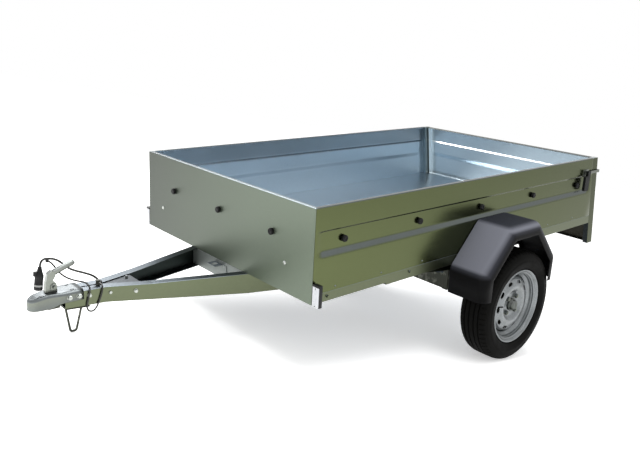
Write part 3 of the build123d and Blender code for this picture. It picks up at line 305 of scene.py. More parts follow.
# %% The lamps and the floor
LAMP_AIM = Vector((0, 0.2, 0.5))
for name, place, size, power in (("lamp beyond the far side", (-3.6, -0.6, 3.6), 2.6, 260),
                                 ("lamp above", (0.6, -0.6, 4.6), 3, 120)):
    lamp = bpy.data.lights.new(name, "AREA")
    lamp.shape = "SQUARE"
    lamp.size = size
    lamp.energy = power
    stand = in_scene(name, lamp)
    stand.location = place
    stand.rotation_euler = (LAMP_AIM - Vector(place)).to_track_quat("-Z", "Y").to_euler()

# The floor is matt white: pale enough to run into the room, and it keeps the soft shadow.
floor_paint, coords = new_material("matt white floor paint")
lift = between(seen_directly(floor_paint.node_tree), 0, 1, 0, FLOOR_LIFT)
shaded(floor_paint, {"Base Color": ramp(noise(coords["Object"], 400), (0.3, "#F9F9F8"), (0.7, "#FFFFFF")),
                     "Roughness": 0.9, "Specular IOR Level": 0, "Emission Color": colour("#FFFFFF"),
                     "Emission Strength": lift})
sheet = bmesh.new()
bmesh.ops.create_grid(sheet, x_segments=1, y_segments=1, size=FLOOR_HALF)
floor_mesh = bpy.data.meshes.new("floor")
sheet.to_mesh(floor_mesh)
sheet.free()
floor_mesh.materials.append(floor_paint)
in_scene("floor", floor_mesh)
print("floor and lamps are set")

# %% [markdown]
# ## Galvanised steel
#
# Zinc is a fairly bright mirror with faint crystals. Its tint is what stands round it, which outdoors
# is grass and sky. A studio has neither, so the finish holds a painted reflection of them: faces that
# look sideways are green-grey, and those that look up are blue-grey. Each copy of the zinc below has its
# own painted reflection tones, lighter or darker as the light falls on that part, and some add painted
# light and shade along an axis.

# %% Where a finish reads its place and direction
PLACE_SHIFT = AXLE * MM - LEAN_TURN.inverted() @ axle_parked


def level_place(coords):
    """Object coordinates turned into the level frame, in metres."""
    return add("ShaderNodeMapping", {"Vector": coords["Object"], "Rotation": (-lean, 0, 0),
                                     "Location": PLACE_SHIFT}).outputs["Vector"]


def level_facing(coords):
    """How far the surface looks up in the level frame: 0 is straight down and 1 is straight up."""
    turned = add("ShaderNodeMapping", {"Vector": coords["Normal"], "Rotation": (-lean, 0, 0)})
    parts = add("ShaderNodeSeparateXYZ", {"Vector": turned.outputs["Vector"]})
    return between(parts.outputs["Z"], -1, 1)


print("level place shift:", [round(value, 3) for value in PLACE_SHIFT])

# %% Galvanised sheet and folded section
CRYSTAL_MM = 9
STREAK_MM, STREAK_STRETCH = 6, (0.06, 0.06, 1)
CLOUD_MM = 240
WAVE_MM = 330
SHADES = (0.3, 1.3)


def galvanised(name, tones, roughness=0.3, wave_depth=0.2, level=0.05, metallic=1, grain=0.004, painted_lighting_gains=()):
    """Zinc with crystals, streaks and waves. Its tones are a painted reflection for faces that look down,
    sideways, up at a slant and up; each gain is painted light or shade: an axis, a span along it and the
    brightness at both ends."""
    material, coords = new_material(name)
    place = level_place(coords)
    down, beside, slant, up = tones.split()
    # Painted reflection: the tones by facing stand for grass below and sky above.
    tint = ramp(level_facing(coords), (0.25, down), (0.45, beside), (0.55, beside), (0.64, slant),
                (0.9, slant), (1, up))
    parts = add("ShaderNodeSeparateXYZ", {"Vector": place}).outputs
    # Painted light and shade: each gain brightens or darkens the tint along an axis.
    for axis, *span in painted_lighting_gains:
        tint = times(tint, between(parts[axis], *span))
    crystal = cell_shade(place, CRYSTAL_MM, feature="SMOOTH_F1")
    long_place = add("ShaderNodeMapping", {"Vector": place, "Scale": STREAK_STRETCH})
    streaks = noise(long_place.outputs["Vector"], STREAK_MM, 3)
    shade = add("ShaderNodeMath", {0: crystal, 1: streaks, 2: noise(place, CLOUD_MM, 3)},
                operation="MULTIPLY_ADD").outputs[0]
    waves = bumped(noise(place, WAVE_MM, 1), wave_depth)
    return shaded(material, {
        "Base Color": times(tint, between(shade, *SHADES, 1 - level, 1 + level)),
        "Roughness": between(shade, *SHADES, roughness - 0.03, roughness + 0.05),
        "Normal": bumped(streaks, grain, Normal=waves), "Metallic": metallic})


# Painted shade: the outer sheet darkens towards the tail, to 0.8 of its tone at 2.1 m.
sheet_outside = galvanised("galvanised sheet, outer face", "#383E28 #575E3F #636967 #5E6664", 0.22, 0.5,
                           painted_lighting_gains=[("Y", 0, 2.1, 1, 0.8)])
# Painted light: the front is darker at its right end and brighter towards its left corner, from 0.6 to 2.1
# times its tone.
sheet_front = galvanised("galvanised sheet, front face", "#4C5346 #4C5449 #6A7274 #565E62", 0.42, 0.5,
                         metallic=0.55, painted_lighting_gains=[("X", -0.6, 0.6, 0.6, 2.1)])
# Painted reflection: the inner faces are blue-grey, as sky would show in them; painted shade makes them
# darker above 0.27 to 0.3 m.
sheet_inside = galvanised("galvanised sheet, inner face", "#6E7E8E #C6D4DF #64727F #ACBAC4", 0.3, 0.5,
                          0.03, grain=0.0008, painted_lighting_gains=[("Z", 0.27, 0.3, 1, 0.54)])
# Painted light: the tailgate's inner face is a lighter copy of the inner finish.
gate_inside = galvanised("galvanised sheet, tailgate's inner face", "#B4C2CC #F2F8FA #F4F8FA #D0DADF",
                         0.3, 0.5, 0.03, grain=0.0008)
frame_steel = galvanised("galvanised folded section", "#3F4334 #5F6550 #868F96 #474F55")
# Painted shade: the arms darken towards the rear, where they run under the box.
arm_steel = galvanised("galvanised drawbar arm", "#3F4334 #5F6550 #868F96 #474F55",
                       painted_lighting_gains=[("Y", 0, 2.1, 1, -0.6)])
# Painted shade: the hollow side of a section is a darker copy of the zinc.
arm_inside = galvanised("galvanised section, hollow side in painted shade", "#2A2E2A #333A38 #4E565A #4E565C", 0.36)
# Painted reflection: the neck plate's top is given a dark tone.
neck_zinc = galvanised("galvanised neck plate", "#3F4334 #5F6550 #7C858C #20262B", 0.34)
member_zinc = galvanised("galvanised member", "#5A5E58 #828885 #B0B6B6 #565E64", 0.5, metallic=0.5)
fitting_zinc = galvanised("bright zinc plate", "#50544E #747870 #707576 #565A5C", 0.38, 0)
post_steel = galvanised("galvanised post", "#2A301B #3E4429 #565C58 #5E6664", 0.3, 0.5)
# Painted reflection and shade: the posts' inner sides are blue-grey, and painted shade darkens them towards
# the bottom, to 0.12 below 0.02 m.
post_inside = galvanised("galvanised post, inner side", "#6E7E8E #8E989A #8E989A #A0A8A8", 0.3, 0.5, 0.03,
                         grain=0.0008, painted_lighting_gains=[("Z", 0.02, 0.05, 0.12, 1)])
# Painted shade: a dark copy of the zinc for the lamp panel's inner faces, under the box.
panel_shade = galvanised("galvanised sheet, painted shade", "#24231C #2E2C22 #34332A #34332A", 0.5,
                         metallic=0.6)
bolt_zinc = galvanised("bright bolt zinc", "#8A8E88 #A8ACA6 #B8BCBA #989E9E", 0.3, 0)
# Painted light: a lighter copy of the bright zinc for the coupling's lever and its grip.
lever_zinc = galvanised("bright zinc, lit copy for the lever", "#5A5E57 #7E827B #969A97 #767A7A", 0.34, 0)
hub_zinc = galvanised("hub, dull zinc", "#3C3E3A #5C605C #6C6E6C #6C6E6C", 0.42, 0)
print("galvanised finishes:", len(bpy.data.materials) - 1)

# %% [markdown]
# ## Painted steel
#
# The stand's rod and the axle are painted black, with rubbed patches. The wheels have silver paint:
# metal flakes, large enough to show, under a clear coat.

# %% Dark steel and silver paint
painted_steel, coords = new_material("satin black paint on steel")
place = level_place(coords)
rub = between(noise(place, 30, 4), 0.52, 0.66)
shaded(painted_steel, {"Base Color": mixed(rub, "#3A3C34", "#6C6E63"), "Metallic": 0.6,
                       "Roughness": between(rub, 0, 1, 0.45, 0.32),
                       "Normal": bumped(noise(place, 2.5), 0.03)})

wheel_paint, coords = new_material("silver wheel paint")
dust = noise(coords["Object"], 45, 4)
flakes = mixed(cell_shade(coords["Object"], 1), "#6A6E70", "#929698")
shaded(wheel_paint, {"Base Color": mixed(between(dust, 0.5, 0.75, 0, 0.45), flakes, "#5E625E"),
                     "Roughness": between(dust, 0.3, 0.8, 0.28, 0.42), "Metallic": 0.75,
                     "Coat Weight": 0.25, "Coat Roughness": 0.15})
print("paints ready")

# %% [markdown]
# ## Rubber and plastic
#
# Tyres and hooks are matt black rubber that picks up dust. The mudguards are moulded polythene with a
# leather-like grain, and a soft grey painted sheen where they turn to the light.

# %% Black rubber and black plastics
def rubber(name, tones, roughness, grain_mm, dust, sheen):
    """Black rubber: fine grain, and dust that lies in soft patches."""
    material, coords = new_material(name)
    place = coords["Object"]
    patches = between(noise(place, 55, 5, 0.6), 0.4, 0.8, 0, dust)
    return shaded(material, {
        "Base Color": mixed(patches, *tones.split()), "IOR": 1.52, "Specular IOR Level": sheen,
        "Roughness": between(patches, 0, dust, roughness, roughness + 0.15),
        "Normal": bumped(noise(place, grain_mm, 3), 0.08)})


def moulded_plastic(name, tones, roughness, grain_mm, grain_depth, painted_sheen="", sheen=0.5):
    """Plastic with the mould's grain; a painted sheen is added to faces that look sideways, at a slant and
    up.
    """
    material, coords = new_material(name)
    place = coords["Object"]
    clouds = noise(place, 120, 3)
    base = mixed(between(clouds, 0.35, 0.75), *tones.split())
    # Painted sheen: grey added to faces by how far they look up.
    if painted_sheen:
        beside, slant, up = painted_sheen.split()
        added = ramp(level_facing(coords), (0.52, "#000000"), (0.7, beside), (0.82, slant), (0.88, slant),
                     (1, up))
        base = mixed(1, base, added, "ADD")
    return shaded(material, {
        "Base Color": base, "IOR": 1.5, "Specular IOR Level": sheen,
        "Roughness": between(clouds, 0.3, 0.7, roughness - 0.04, roughness + 0.06),
        "Normal": bumped(cells(place, grain_mm)["Distance"], grain_depth)})


tyre_rubber = rubber("tyre rubber", "#070706 #161512", 0.62, 1.6, 0.25, 0.06)
hook_rubber = rubber("hook rubber", "#0C0D0E #1C1C17", 0.5, 1, 0.2, 0.2)
cable_sheath = moulded_plastic("cable sheath", "#1C1D19 #2B2C26", 0.42, 0.7, 0.02)
grey_plastic = moulded_plastic("grey plastic ring", "#8E908E #A4A6A4", 0.3, 0.8, 0.02)
# The three added greys are a painted sheen on the mudguards' faces that look sideways, at a slant and up.
guard_plastic = moulded_plastic("moulded polythene", "#050506 #09090A", 0.42, 1.4, 0.1,
                                "#34353B #70727B #25272F", 0.06)
case_plastic = moulded_plastic("moulded black plastic", "#0C0D0E #141517", 0.42, 0.9, 0.03, sheen=0.3)
print("finishes so far:", len(bpy.data.materials))

# %% [markdown]
# ## Lenses and the blank plate
#
# Lamp glass is acrylic over rows of small prisms, so its colour varies under a smooth surface. The
# number plate is white enamel with a little grime.

# %% Acrylic lenses and white plate
PRISM_MM = 5


def lens(name, light_code, deep_code):
    """Coloured acrylic over a grid of prisms."""
    material, coords = new_material(name)
    prisms = cells(level_place(coords), PRISM_MM, 0, distance="CHEBYCHEV")["Distance"]
    return shaded(material, {
        "Base Color": mixed(between(prisms, 0.1, 0.55), light_code, deep_code),
        "Normal": bumped(prisms, 0.5), "Roughness": 0.12, "IOR": 1.49, "Coat Weight": 0.6,
        "Coat Roughness": 0.03})


red_lens = lens("red acrylic", "#C81410", "#7A0605")
amber_lens = lens("amber acrylic", "#E8860E", "#A84E05")
white_lens = lens("white acrylic", "#F1F2F4", "#C9CCD2")
plate_enamel, coords = new_material("white enamel")
grime = between(noise(coords["Object"], 60, 4), 0.45, 0.75)
shaded(plate_enamel, {"Base Color": mixed(grime, "#EDEDE8", "#D6D5CC"), "IOR": 1.5,
                      "Roughness": between(grime, 0, 1, 0.3, 0.45)})
print("finishes ready:", len(bpy.data.materials))

# %% [markdown]
# ## Tools for shaping
#
# A fold in sheet metal is never sharp, and its small radius catches the light. A wall is a line with
# rounded bends, extruded and thickened. A solid of the construction model is copied and bevelled.

# %% Finishing a piece
SHARP_ANGLE = math.radians(38)


def outwards(shape, way):
    """Turns an open sheet's faces so that most of them look along way."""
    bmesh.ops.recalc_face_normals(shape, faces=shape.faces)
    total = sum((face.normal * face.calc_area() for face in shape.faces), Vector())
    if total.dot(Vector(way)) < 0:
        bmesh.ops.reverse_faces(shape, faces=shape.faces)


def finished(shape, name, finish, node="", body="chassis", closed=True, place=LEVEL_TO_PARKED):
    """Makes a shape a piece of the parked trailer, which may stand for a node."""
    if closed:
        bmesh.ops.remove_doubles(shape, verts=shape.verts, dist=0.001)
        bmesh.ops.recalc_face_normals(shape, faces=shape.faces)
    bmesh.ops.transform(shape, matrix=place, verts=shape.verts)
    mesh = bpy.data.meshes.new(name)
    shape.to_mesh(mesh)
    shape.free()
    mesh.shade_smooth()
    mesh.set_sharp_from_angle(angle=SHARP_ANGLE)
    piece = in_scene(name, mesh)
    mesh.materials.append(finish)
    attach(piece, frame["nodes"][node]["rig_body"] if node else body)
    if node:
        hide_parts(node)
    return piece


def mirrored(shape):
    """A copy of a shape on the trailer's other side."""
    copy = shape.copy()
    bmesh.ops.scale(copy, vec=(-1, 1, 1), verts=copy.verts)
    bmesh.ops.reverse_faces(copy, faces=copy.faces)
    return copy


def joined(*shapes):
    """Adds the other shapes to the first one."""
    for other in shapes[1:]:
        scrap = bpy.data.meshes.new("scrap")
        other.to_mesh(scrap)
        other.free()
        shapes[0].from_mesh(scrap)
        bpy.data.meshes.remove(scrap)
    return shapes[0]


def both_sides(*shapes):
    """The shapes and their mirror images."""
    left = joined(*shapes)
    return joined(left, mirrored(left))


def thickened(piece, sheet):
    """Gives a sheet piece its thickness inwards."""
    wall = piece.modifiers.new("sheet thickness", "SOLIDIFY")
    wall.thickness, wall.offset = sheet * MM, -1
    return wall


def folded(piece, sheet, inner_finish):
    """Thickens a wall with another finish inside; its large faces rule the shading."""
    piece.data.materials.append(inner_finish)
    thickened(piece, sheet).material_offset = 1
    normals = piece.modifiers.new("flat faces", "WEIGHTED_NORMAL")
    normals.weight = 100
    normals.keep_sharp = True


print("finishing tools ready")

# %% Rounded lines and softened copies
ARC_STEPS = 5
FLAT_ANGLE, FOLD_ANGLE = math.radians(1), math.radians(35)


def rounded(points, radii):
    """A line of flat points with each inner corner rounded by its radius."""
    line = [Vector(points[0])]
    for before, corner, after, radius in zip(points, points[1:], points[2:], radii):
        corner = Vector(corner)
        inward = (Vector(before) - corner).normalized()
        onward = (Vector(after) - corner).normalized()
        half = inward.angle(onward) / 2
        middle = corner + (inward + onward).normalized() * radius / math.sin(half)
        start = corner + inward * radius / math.tan(half) - middle
        end = corner + onward * radius / math.tan(half) - middle
        turn = math.atan2(start.cross(end), start.dot(end))
        line += [middle + Matrix.Rotation(turn * step / ARC_STEPS, 2) @ start
                 for step in range(ARC_STEPS + 1)]
    return line + [Vector(points[-1])]


def drawn_line(shape, points):
    """Vertices at the points, joined by edges in a row."""
    verts = [shape.verts.new(point) for point in points]
    return [shape.edges.new(ends) for ends in zip(verts, verts[1:])]


def extruded(shape, edges, move):
    """Extrudes a row of edges by a move, and gives back the new row."""
    made = bmesh.ops.extrude_edge_only(shape, edges=edges)["geom"]
    fresh = [item for item in made if isinstance(item, bmesh.types.BMVert)]
    bmesh.ops.translate(shape, vec=move, verts=fresh)
    kept = set(fresh)
    return [item for item in made if isinstance(item, bmesh.types.BMEdge) and set(item.verts) <= kept]


def softened(node, finish, radius, slot=""):
    """A copy of a node with merged faces and rounded edges, which stands for it."""
    shape = bmesh.new()
    shape.from_mesh(frame["nodes"][node].data)
    bmesh.ops.remove_doubles(shape, verts=shape.verts, dist=0.02 * MM)
    bmesh.ops.dissolve_limit(shape, angle_limit=FLAT_ANGLE, verts=shape.verts, edges=shape.edges)
    piece = finished(shape, node + "_soft", finish, node, closed=False, place=Matrix())
    edge = piece.modifiers.new("folds", "BEVEL")
    edge.width = radius * MM
    edge.segments = 2
    edge.limit_method = "ANGLE"
    edge.angle_limit = FOLD_ANGLE
    edge.harden_normals = True
    return piece


print("line tools ready")

# %% [markdown]
# ## Round pieces, tubes and fasteners
#
# Wheels, knobs and nuts are turned shapes: a profile of places along the X axis and radii, carried
# round it and then aimed at the way the piece faces. Bent bars are tubes.

# %% Skins, turned shapes and tubes
def stitched(shape, grid, around=False, along=False):
    """Faces between rows of vertices; around closes each row, and along the whole."""
    for here, there in zip(grid, grid[1:] + (grid[:1] if along else [])):
        for i in range(len(here) if around else len(here) - 1):
            j = (i + 1) % len(here)
            shape.faces.new((here[i], here[j], there[j], there[i]))


def skinned(rows, around=False, along=False, caps=False):
    """A shape with faces over rows of points."""
    shape = bmesh.new()
    grid = [[shape.verts.new(point) for point in row] for row in rows]
    stitched(shape, grid, around, along)
    if caps:
        shape.faces.new(grid[0])
        shape.faces.new(grid[-1])
    return shape


def turned(profile, steps=32, ring=False, corners=0):
    """A profile of (x, radius) points turned about the X axis; ring joins the profile's ends, and a
    number of corners makes a polygon whose inner radius is the profile's."""
    rows = []
    for step in range(steps):
        angle = math.tau * step / steps
        reach = 1 / math.cos(angle % (math.tau / corners) - math.pi / corners) if corners else 1
        rows.append([(x, r * reach * math.cos(angle), r * reach * math.sin(angle)) for x, r in profile])
    shape = skinned(rows, around=ring, along=True)
    bmesh.ops.remove_doubles(shape, verts=shape.verts, dist=0.001)
    return shape


def aimed(shape, place, way):
    """Turns a shape that lies along X to a way, and puts its origin at a place."""
    turn = Vector((1, 0, 0)).rotation_difference(Vector(way)).to_matrix().to_4x4()
    bmesh.ops.transform(shape, matrix=Matrix.Translation(place) @ turn, verts=shape.verts)
    return shape


def tube(line, radius, steps=14):
    """A round bar along a line of points, with flat ends."""
    points = [Vector(point) for point in line]
    rows, side = [], None
    for i, here in enumerate(points):
        way = (points[min(i + 1, len(points) - 1)] - points[max(i - 1, 0)]).normalized()
        side = way.orthogonal() if side is None else side - way * side.dot(way)
        side.normalize()
        up = way.cross(side)
        angles = [math.tau * step / steps for step in range(steps)]
        rows.append([here + (side * math.cos(a) + up * math.sin(a)) * radius for a in angles])
    return skinned(rows, around=True, caps=True)


def edges_rounded(shape, radius, segments=2):
    """Rounds all the edges of a shape."""
    bmesh.ops.bevel(shape, geom=shape.edges, offset=radius, segments=segments, profile=0.5, affect="EDGES")
    return shape


def soft_block(low, high, radius, segments=2):
    """A block between two corners with all its edges rounded."""
    shape = bmesh.new()
    bmesh.ops.create_cube(shape, size=1)
    low, high = Vector(low), Vector(high)
    for vert in shape.verts:
        vert.co = (low + high) / 2 + Vector(a * b for a, b in zip(vert.co, high - low))
    return edges_rounded(shape, radius, segments)


print("shaping tools ready")

# %% Fasteners
def hexagon_bolt(place, way, across, thread=0):
    """A bolt head or a nut on its washer; thread is how far a bolt's end stands out."""
    r, washer = across / 2, 1.8
    top = washer + 0.62 * across
    ring = turned([(0, 0), (0, 1.35 * r), (washer - 0.5, 1.35 * r), (washer, 1.27 * r), (washer, 0)], 28)
    head = turned([(washer, 0), (washer, 0.97 * r), (top - 0.1 * across, r), (top, 0.93 * r), (top, 0)],
                  36, corners=6)
    shape = joined(ring, head)
    if thread:
        joined(shape, turned([(top - 1, 0), (top - 1, 0.55 * r), (top + thread - 1, 0.55 * r),
                              (top + thread, 0.42 * r), (top + thread, 0)], 20))
    return aimed(shape, place, way)


def cup_bolt(place, way, radius, height):
    """A low domed bolt head, or a rivet."""
    dome = [(0, 0), (0, radius), (0.25 * height, 0.98 * radius)]
    dome += [(height * math.sin(a), radius * math.cos(a)) for a in (0.5, 0.9, 1.2)] + [(height, 0)]
    return aimed(turned(dome, 24), place, way)


print("fasteners ready")

# %% [markdown]
# ## The walls of the load box
#
# Each wall is one sheet with a pressed band and a rim folded in along the top. Its section is a line of
# depth inwards and height, extruded in a few steps. Near both ends the band runs out, so the vertices
# there are pushed back to the plain face.

# %% Sections of the walls
BOX_LENGTH, HALF_WIDTH, WALL_TOP = 2150, 625, 380
WALL_SHEET = 2
RAIL_TOP = 38
POST_DEPTH, POST_WIDTH = 54, 28
BAND_END, BAND_RUN_OUT, BAND_DEPTH = 46, 24, 8
BAND_FOOT, BAND_TOP = 180, 287
BAND_LINE = ((0, BAND_FOOT), (BAND_DEPTH, 205), (BAND_DEPTH, 280), (0, BAND_TOP))
BAND_BENDS = (50, 36, 3.5, 3.5)
RIM, LIP, RIM_BEND = 20, 10, 4
RAKE, RAKE_LEVEL = math.radians(9.3), 311
RAKED = (Matrix.Translation((0, BOX_LENGTH, RAKE_LEVEL)) @ Matrix.Rotation(RAKE, 4, "X")
         @ Matrix.Translation((0, -BOX_LENGTH, -RAKE_LEVEL)))
AT_REAR = LEVEL_TO_PARKED @ RAKED


def rear_y(height, inset):
    """Place at a height of a plane set in from the raked rear face."""
    return BOX_LENGTH + (RAKE_LEVEL - height) * math.tan(RAKE) - inset / math.cos(RAKE)


def wall_section(bottom, banded=True, foot=(), rim=RIM, lip=LIP):
    """The line of depth and height from a wall's foot to its lip."""
    line = [*foot, (0, bottom), *(BAND_LINE if banded else ()), (0, WALL_TOP), (rim, WALL_TOP)]
    bends = [RIM_BEND] * len(foot) + list(BAND_BENDS if banded else ()) + [RIM_BEND]
    if lip:
        line.append((rim, WALL_TOP - lip))
        bends.append(RIM_BEND)
    return rounded(line, bends)


def wall_sheet(section, length, last_strip=BAND_END):
    """The section drawn along X, with y as the depth; a last strip of 0 means no band."""
    shape = bmesh.new()
    row = drawn_line(shape, [(0, depth, height) for depth, height in section])
    last = length - last_strip
    stations = [0, BAND_END - BAND_RUN_OUT, BAND_END, last, last + BAND_RUN_OUT, length]
    if not last_strip:
        stations = [0, length]
    for here, there in zip(stations, stations[1:]):
        row = extruded(shape, row, (there - here, 0, 0))
    plain = stations[:2] + stations[-2:] if last_strip else ()
    for vert in shape.verts:
        in_band = BAND_FOOT - 10 < vert.co.z < BAND_TOP + BAND_BENDS[-1]
        if in_band and min((abs(vert.co.x - x) for x in plain), default=1) < 0.01:
            vert.co.y = 0
    return shape


print("band height:", BAND_TOP - BAND_FOOT)

# %% Side walls
side_length = rear_y(RAIL_TOP, POST_DEPTH) - WALL_SHEET
last_strip = side_length - (rear_y(BAND_TOP, POST_DEPTH) - WALL_SHEET - BAND_END)
side_sheet = wall_sheet(wall_section(RAIL_TOP), side_length, last_strip)
for vert in side_sheet.verts:
    vert.co.x = max(vert.co.x, vert.co.y if vert.co.z > WALL_TOP - LIP - 1 else 0)
bmesh.ops.transform(side_sheet, verts=side_sheet.verts, matrix=Matrix(
    ((0, -1, 0, HALF_WIDTH), (1, 0, 0, WALL_SHEET), (0, 0, 1, 0), (0, 0, 0, 1))))
bmesh.ops.bisect_plane(side_sheet, geom=side_sheet.verts[:] + side_sheet.edges[:] + side_sheet.faces[:],
                       plane_co=(0, rear_y(0, POST_DEPTH), 0), plane_no=(0, math.cos(RAKE), math.sin(RAKE)),
                       clear_outer=True)
outwards(side_sheet, (1, 0, 0))
for face in side_sheet.faces:
    middle = face.calc_center_median()
    if middle.z > WALL_TOP - LIP - 1 and middle.x < HALF_WIDTH - RIM + 1.5:
        face.material_index = 1
for side, shape in (("right", mirrored(side_sheet)), ("left", side_sheet)):
    folded(finished(shape, "side_wall_" + side, sheet_outside, "side_panel_" + side, closed=False),
           WALL_SHEET, sheet_inside)
print("side walls:", round(side_length), "mm long")

# %% Front wall
FRONT_FOOT, FOOT_HALF = 20, 581
MITRE_GAP = 0.4
front_sheet = wall_sheet(wall_section(0, banded=False), 2 * HALF_WIDTH, 0)
bmesh.ops.translate(front_sheet, vec=(-HALF_WIDTH, 0, 0), verts=front_sheet.verts)
for vert in front_sheet.verts:
    reach = HALF_WIDTH - vert.co.y - (MITRE_GAP if vert.co.y > 0.01 else 0)
    vert.co.x = max(-reach, min(reach, vert.co.x))
foot = drawn_line(front_sheet, [(-FOOT_HALF, WALL_SHEET, 0), (-FOOT_HALF, FRONT_FOOT, 0)])
extruded(front_sheet, foot, (2 * FOOT_HALF, 0, 0))
outwards(front_sheet, (0, -1, 0))
for face in front_sheet.faces:
    if face.calc_center_median().z < 0.01 and face.normal.z > 0:
        face.normal_flip()
folded(finished(front_sheet, "front_wall", sheet_front, "front_panel", closed=False), WALL_SHEET,
       sheet_inside)
print("front wall made")

# %% Tailgate
GATE_HALF = HALF_WIDTH - POST_WIDTH - 5
GATE_DEPTH, GATE_BOTTOM = 26, 44
gate_section = wall_section(GATE_BOTTOM, foot=[(GATE_DEPTH, GATE_BOTTOM)], rim=GATE_DEPTH, lip=0)
gate_sheet = wall_sheet(gate_section, 2 * GATE_HALF)
bmesh.ops.transform(gate_sheet, verts=gate_sheet.verts, matrix=Matrix(
    ((1, 0, 0, -GATE_HALF), (0, -1, 0, BOX_LENGTH), (0, 0, 1, 0), (0, 0, 0, 1))))
outwards(gate_sheet, (0, 1, 0))
for end in (-GATE_HALF, GATE_HALF):
    end_plate = drawn_line(gate_sheet, [(end, BOX_LENGTH - 1, GATE_BOTTOM + 1),
                                        (end, BOX_LENGTH - GATE_DEPTH, GATE_BOTTOM + 1)])
    extruded(gate_sheet, end_plate, (0, 0, WALL_TOP - GATE_BOTTOM - 2))
gate_sheet.normal_update()
for face in gate_sheet.faces:
    if abs(face.normal.x) > 0.9 and face.normal.x * face.calc_center_median().x < 0:
        face.normal_flip()
folded(finished(gate_sheet, "tailgate", sheet_outside, "tailgate_panel", closed=False, place=AT_REAR),
       WALL_SHEET, gate_inside)
print("tailgate:", 2 * GATE_HALF, "mm wide")

# %% [markdown]
# ## Frame members
#
# Rails, drawbar and posts are folded from thicker sheet, so their edges are rounded by about its
# thickness. The drawbar's hollow sides and the rear end's inner sides have finishes of their own, with
# painted shade: dark on the arms and the lamp panel, and darker towards the bottom on the posts.

# %% Frame members with rounded edges
SOFT_FRAME = (
    # finish, edge radius in mm, nodes
    (frame_steel, 1.4, "side_rail_left side_rail_right"),
    (arm_steel, 1.7, "drawbar_arm_left drawbar_arm_right"),
    (member_zinc, 1.5, "drawbar_member"),
    (frame_steel, 1.2, "cross_members rear_member"),
    (post_steel, 1.2, "rear_posts"),
    (sheet_outside, 1.2, "lamp_panel"),
    (sheet_inside, 0.9, "corner_posts floor_sheet"),
    (painted_steel, 3, "axle_beam"),
    (painted_steel, 1.5, "axle_brackets"),
)
# The hollow and inner sides get darker copies of the zinc: painted shade, and on the posts painted
# reflection with painted shade at the bottom.
INNER_SIDE_PAINTED_SHADE = {arm_steel: arm_inside, post_steel: post_inside, sheet_outside: panel_shade}
rear_way = (AT_REAR.to_3x3() @ Vector((0, 1, 0))).normalized()
rear_reach = rear_way.dot(AT_REAR @ Vector((0, BOX_LENGTH - 0.6, 0)))


def faces_inwards(face, is_arm):
    """True for an arm's faces towards the middle, and a rear piece's inside its outline."""
    if is_arm:
        return face.normal.x * face.center.x < 0 and abs(face.normal.x) > 0.5
    return abs(face.center.x) < (HALF_WIDTH - 0.5) * MM and face.center.dot(rear_way) < rear_reach


for finish, radius, nodes in SOFT_FRAME:
    for node in nodes.split():
        piece = softened(node, finish, radius)
        if finish in INNER_SIDE_PAINTED_SHADE:
            piece.data.materials.append(INNER_SIDE_PAINTED_SHADE[finish])
            for face in piece.data.polygons:
                face.material_index = int(faces_inwards(face, finish == arm_steel))
print("kinds of frame members:", len(SOFT_FRAME))

# %% [markdown]
# ## Wheels
#
# The tyre is a turned profile with slots cut into both shoulders by lowering some of its rows. The
# steel wheel is a barrel and a domed disc, which is drawn as a flat map of angle and radius with a hole
# in each sector.

# %% Tyres
TREAD_PITCHES = 64
SLOT_DEPTH = 2.4
SLOTTED_PARTS = ((0, False), (0.02, True), (0.15, True), (0.17, False), (0.58, False))
TYRE_OUTSIDE = (
    (51, 166.4), (55, 171), (57.5, 183.8), (62, 184.8), (68.5, 186.3), (71.3, 189.5), (71.8, 193),
    (73.6, 197.5), (75.9, 204), (77.6, 212), (78, 214), (78.4, 215.2), (78.45, 222), (78.1, 226.5),
    (77.4, 227.6), (77.2, 233), (76.2, 241), (74.2, 248), (71.5, 254), (70.2, 256), (70, 257.6),
    (66.5, 262), (62.5, 265.6), (58.5, 268), (52, 270), (45, 271.6))
TYRE_INSIDE = ((48, 172), (52, 186), (66, 204), (69, 224), (64, 246), (50, 259))
GROOVE, GROOVE_MIDDLES = ((4, 0), (2.4, 5), (-2.4, 5), (-4, 0)), (37, 13.5)
TREAD_RADIUS, TREAD_FALL, TREAD_HALF = 273, 1.1, 45
SHOULDER_RADIUS, SHOULDER_FROM, SHOULDER_TO = 261, 44, 68
SIDE_SKEW = 0.25


def tyre_profile():
    """Closed profile from bead to bead and back inside."""
    half = list(TYRE_OUTSIDE)
    for middle in GROOVE_MIDDLES:
        level = TREAD_RADIUS - TREAD_FALL * (middle / TREAD_HALF) ** 2
        half += [(middle + beside, level - deep) for beside, deep in GROOVE]
    whole = half + [(-x, r) for x, r in reversed(half)]
    return whole + [(-x, r) for x, r in TYRE_INSIDE] + [(x, r) for x, r in reversed(TYRE_INSIDE)]


def tyre_shape():
    """The turned tyre with its shoulder slots."""
    pitch = math.tau / TREAD_PITCHES
    rows = []
    for number in range(TREAD_PITCHES):
        for part, lowered in SLOTTED_PARTS:
            angle = pitch * (number + part)
            row = []
            for x, r in tyre_profile():
                shoulder = SHOULDER_RADIUS < r and SHOULDER_FROM < abs(x) < SHOULDER_TO
                reach = r - SLOT_DEPTH if lowered and shoulder else r
                skew = angle + (SIDE_SKEW * pitch if x < 0 else 0)
                row.append((x, reach * math.cos(skew), reach * math.sin(skew)))
            rows.append(row)
    return skinned(rows, around=True, along=True)


WHEEL_X = 738


def wheel_piece(shape, side, name, finish, node="", closed=True):
    """Moves a shape to the left or right wheel, and makes it a piece of it."""
    bmesh.ops.translate(shape, vec=(WHEEL_X, AXLE.y, AXLE.z), verts=shape.verts)
    shape = mirrored(shape) if side == "right" else shape
    return finished(shape, name + side, finish, node and node + side, "wheel_" + side, closed)


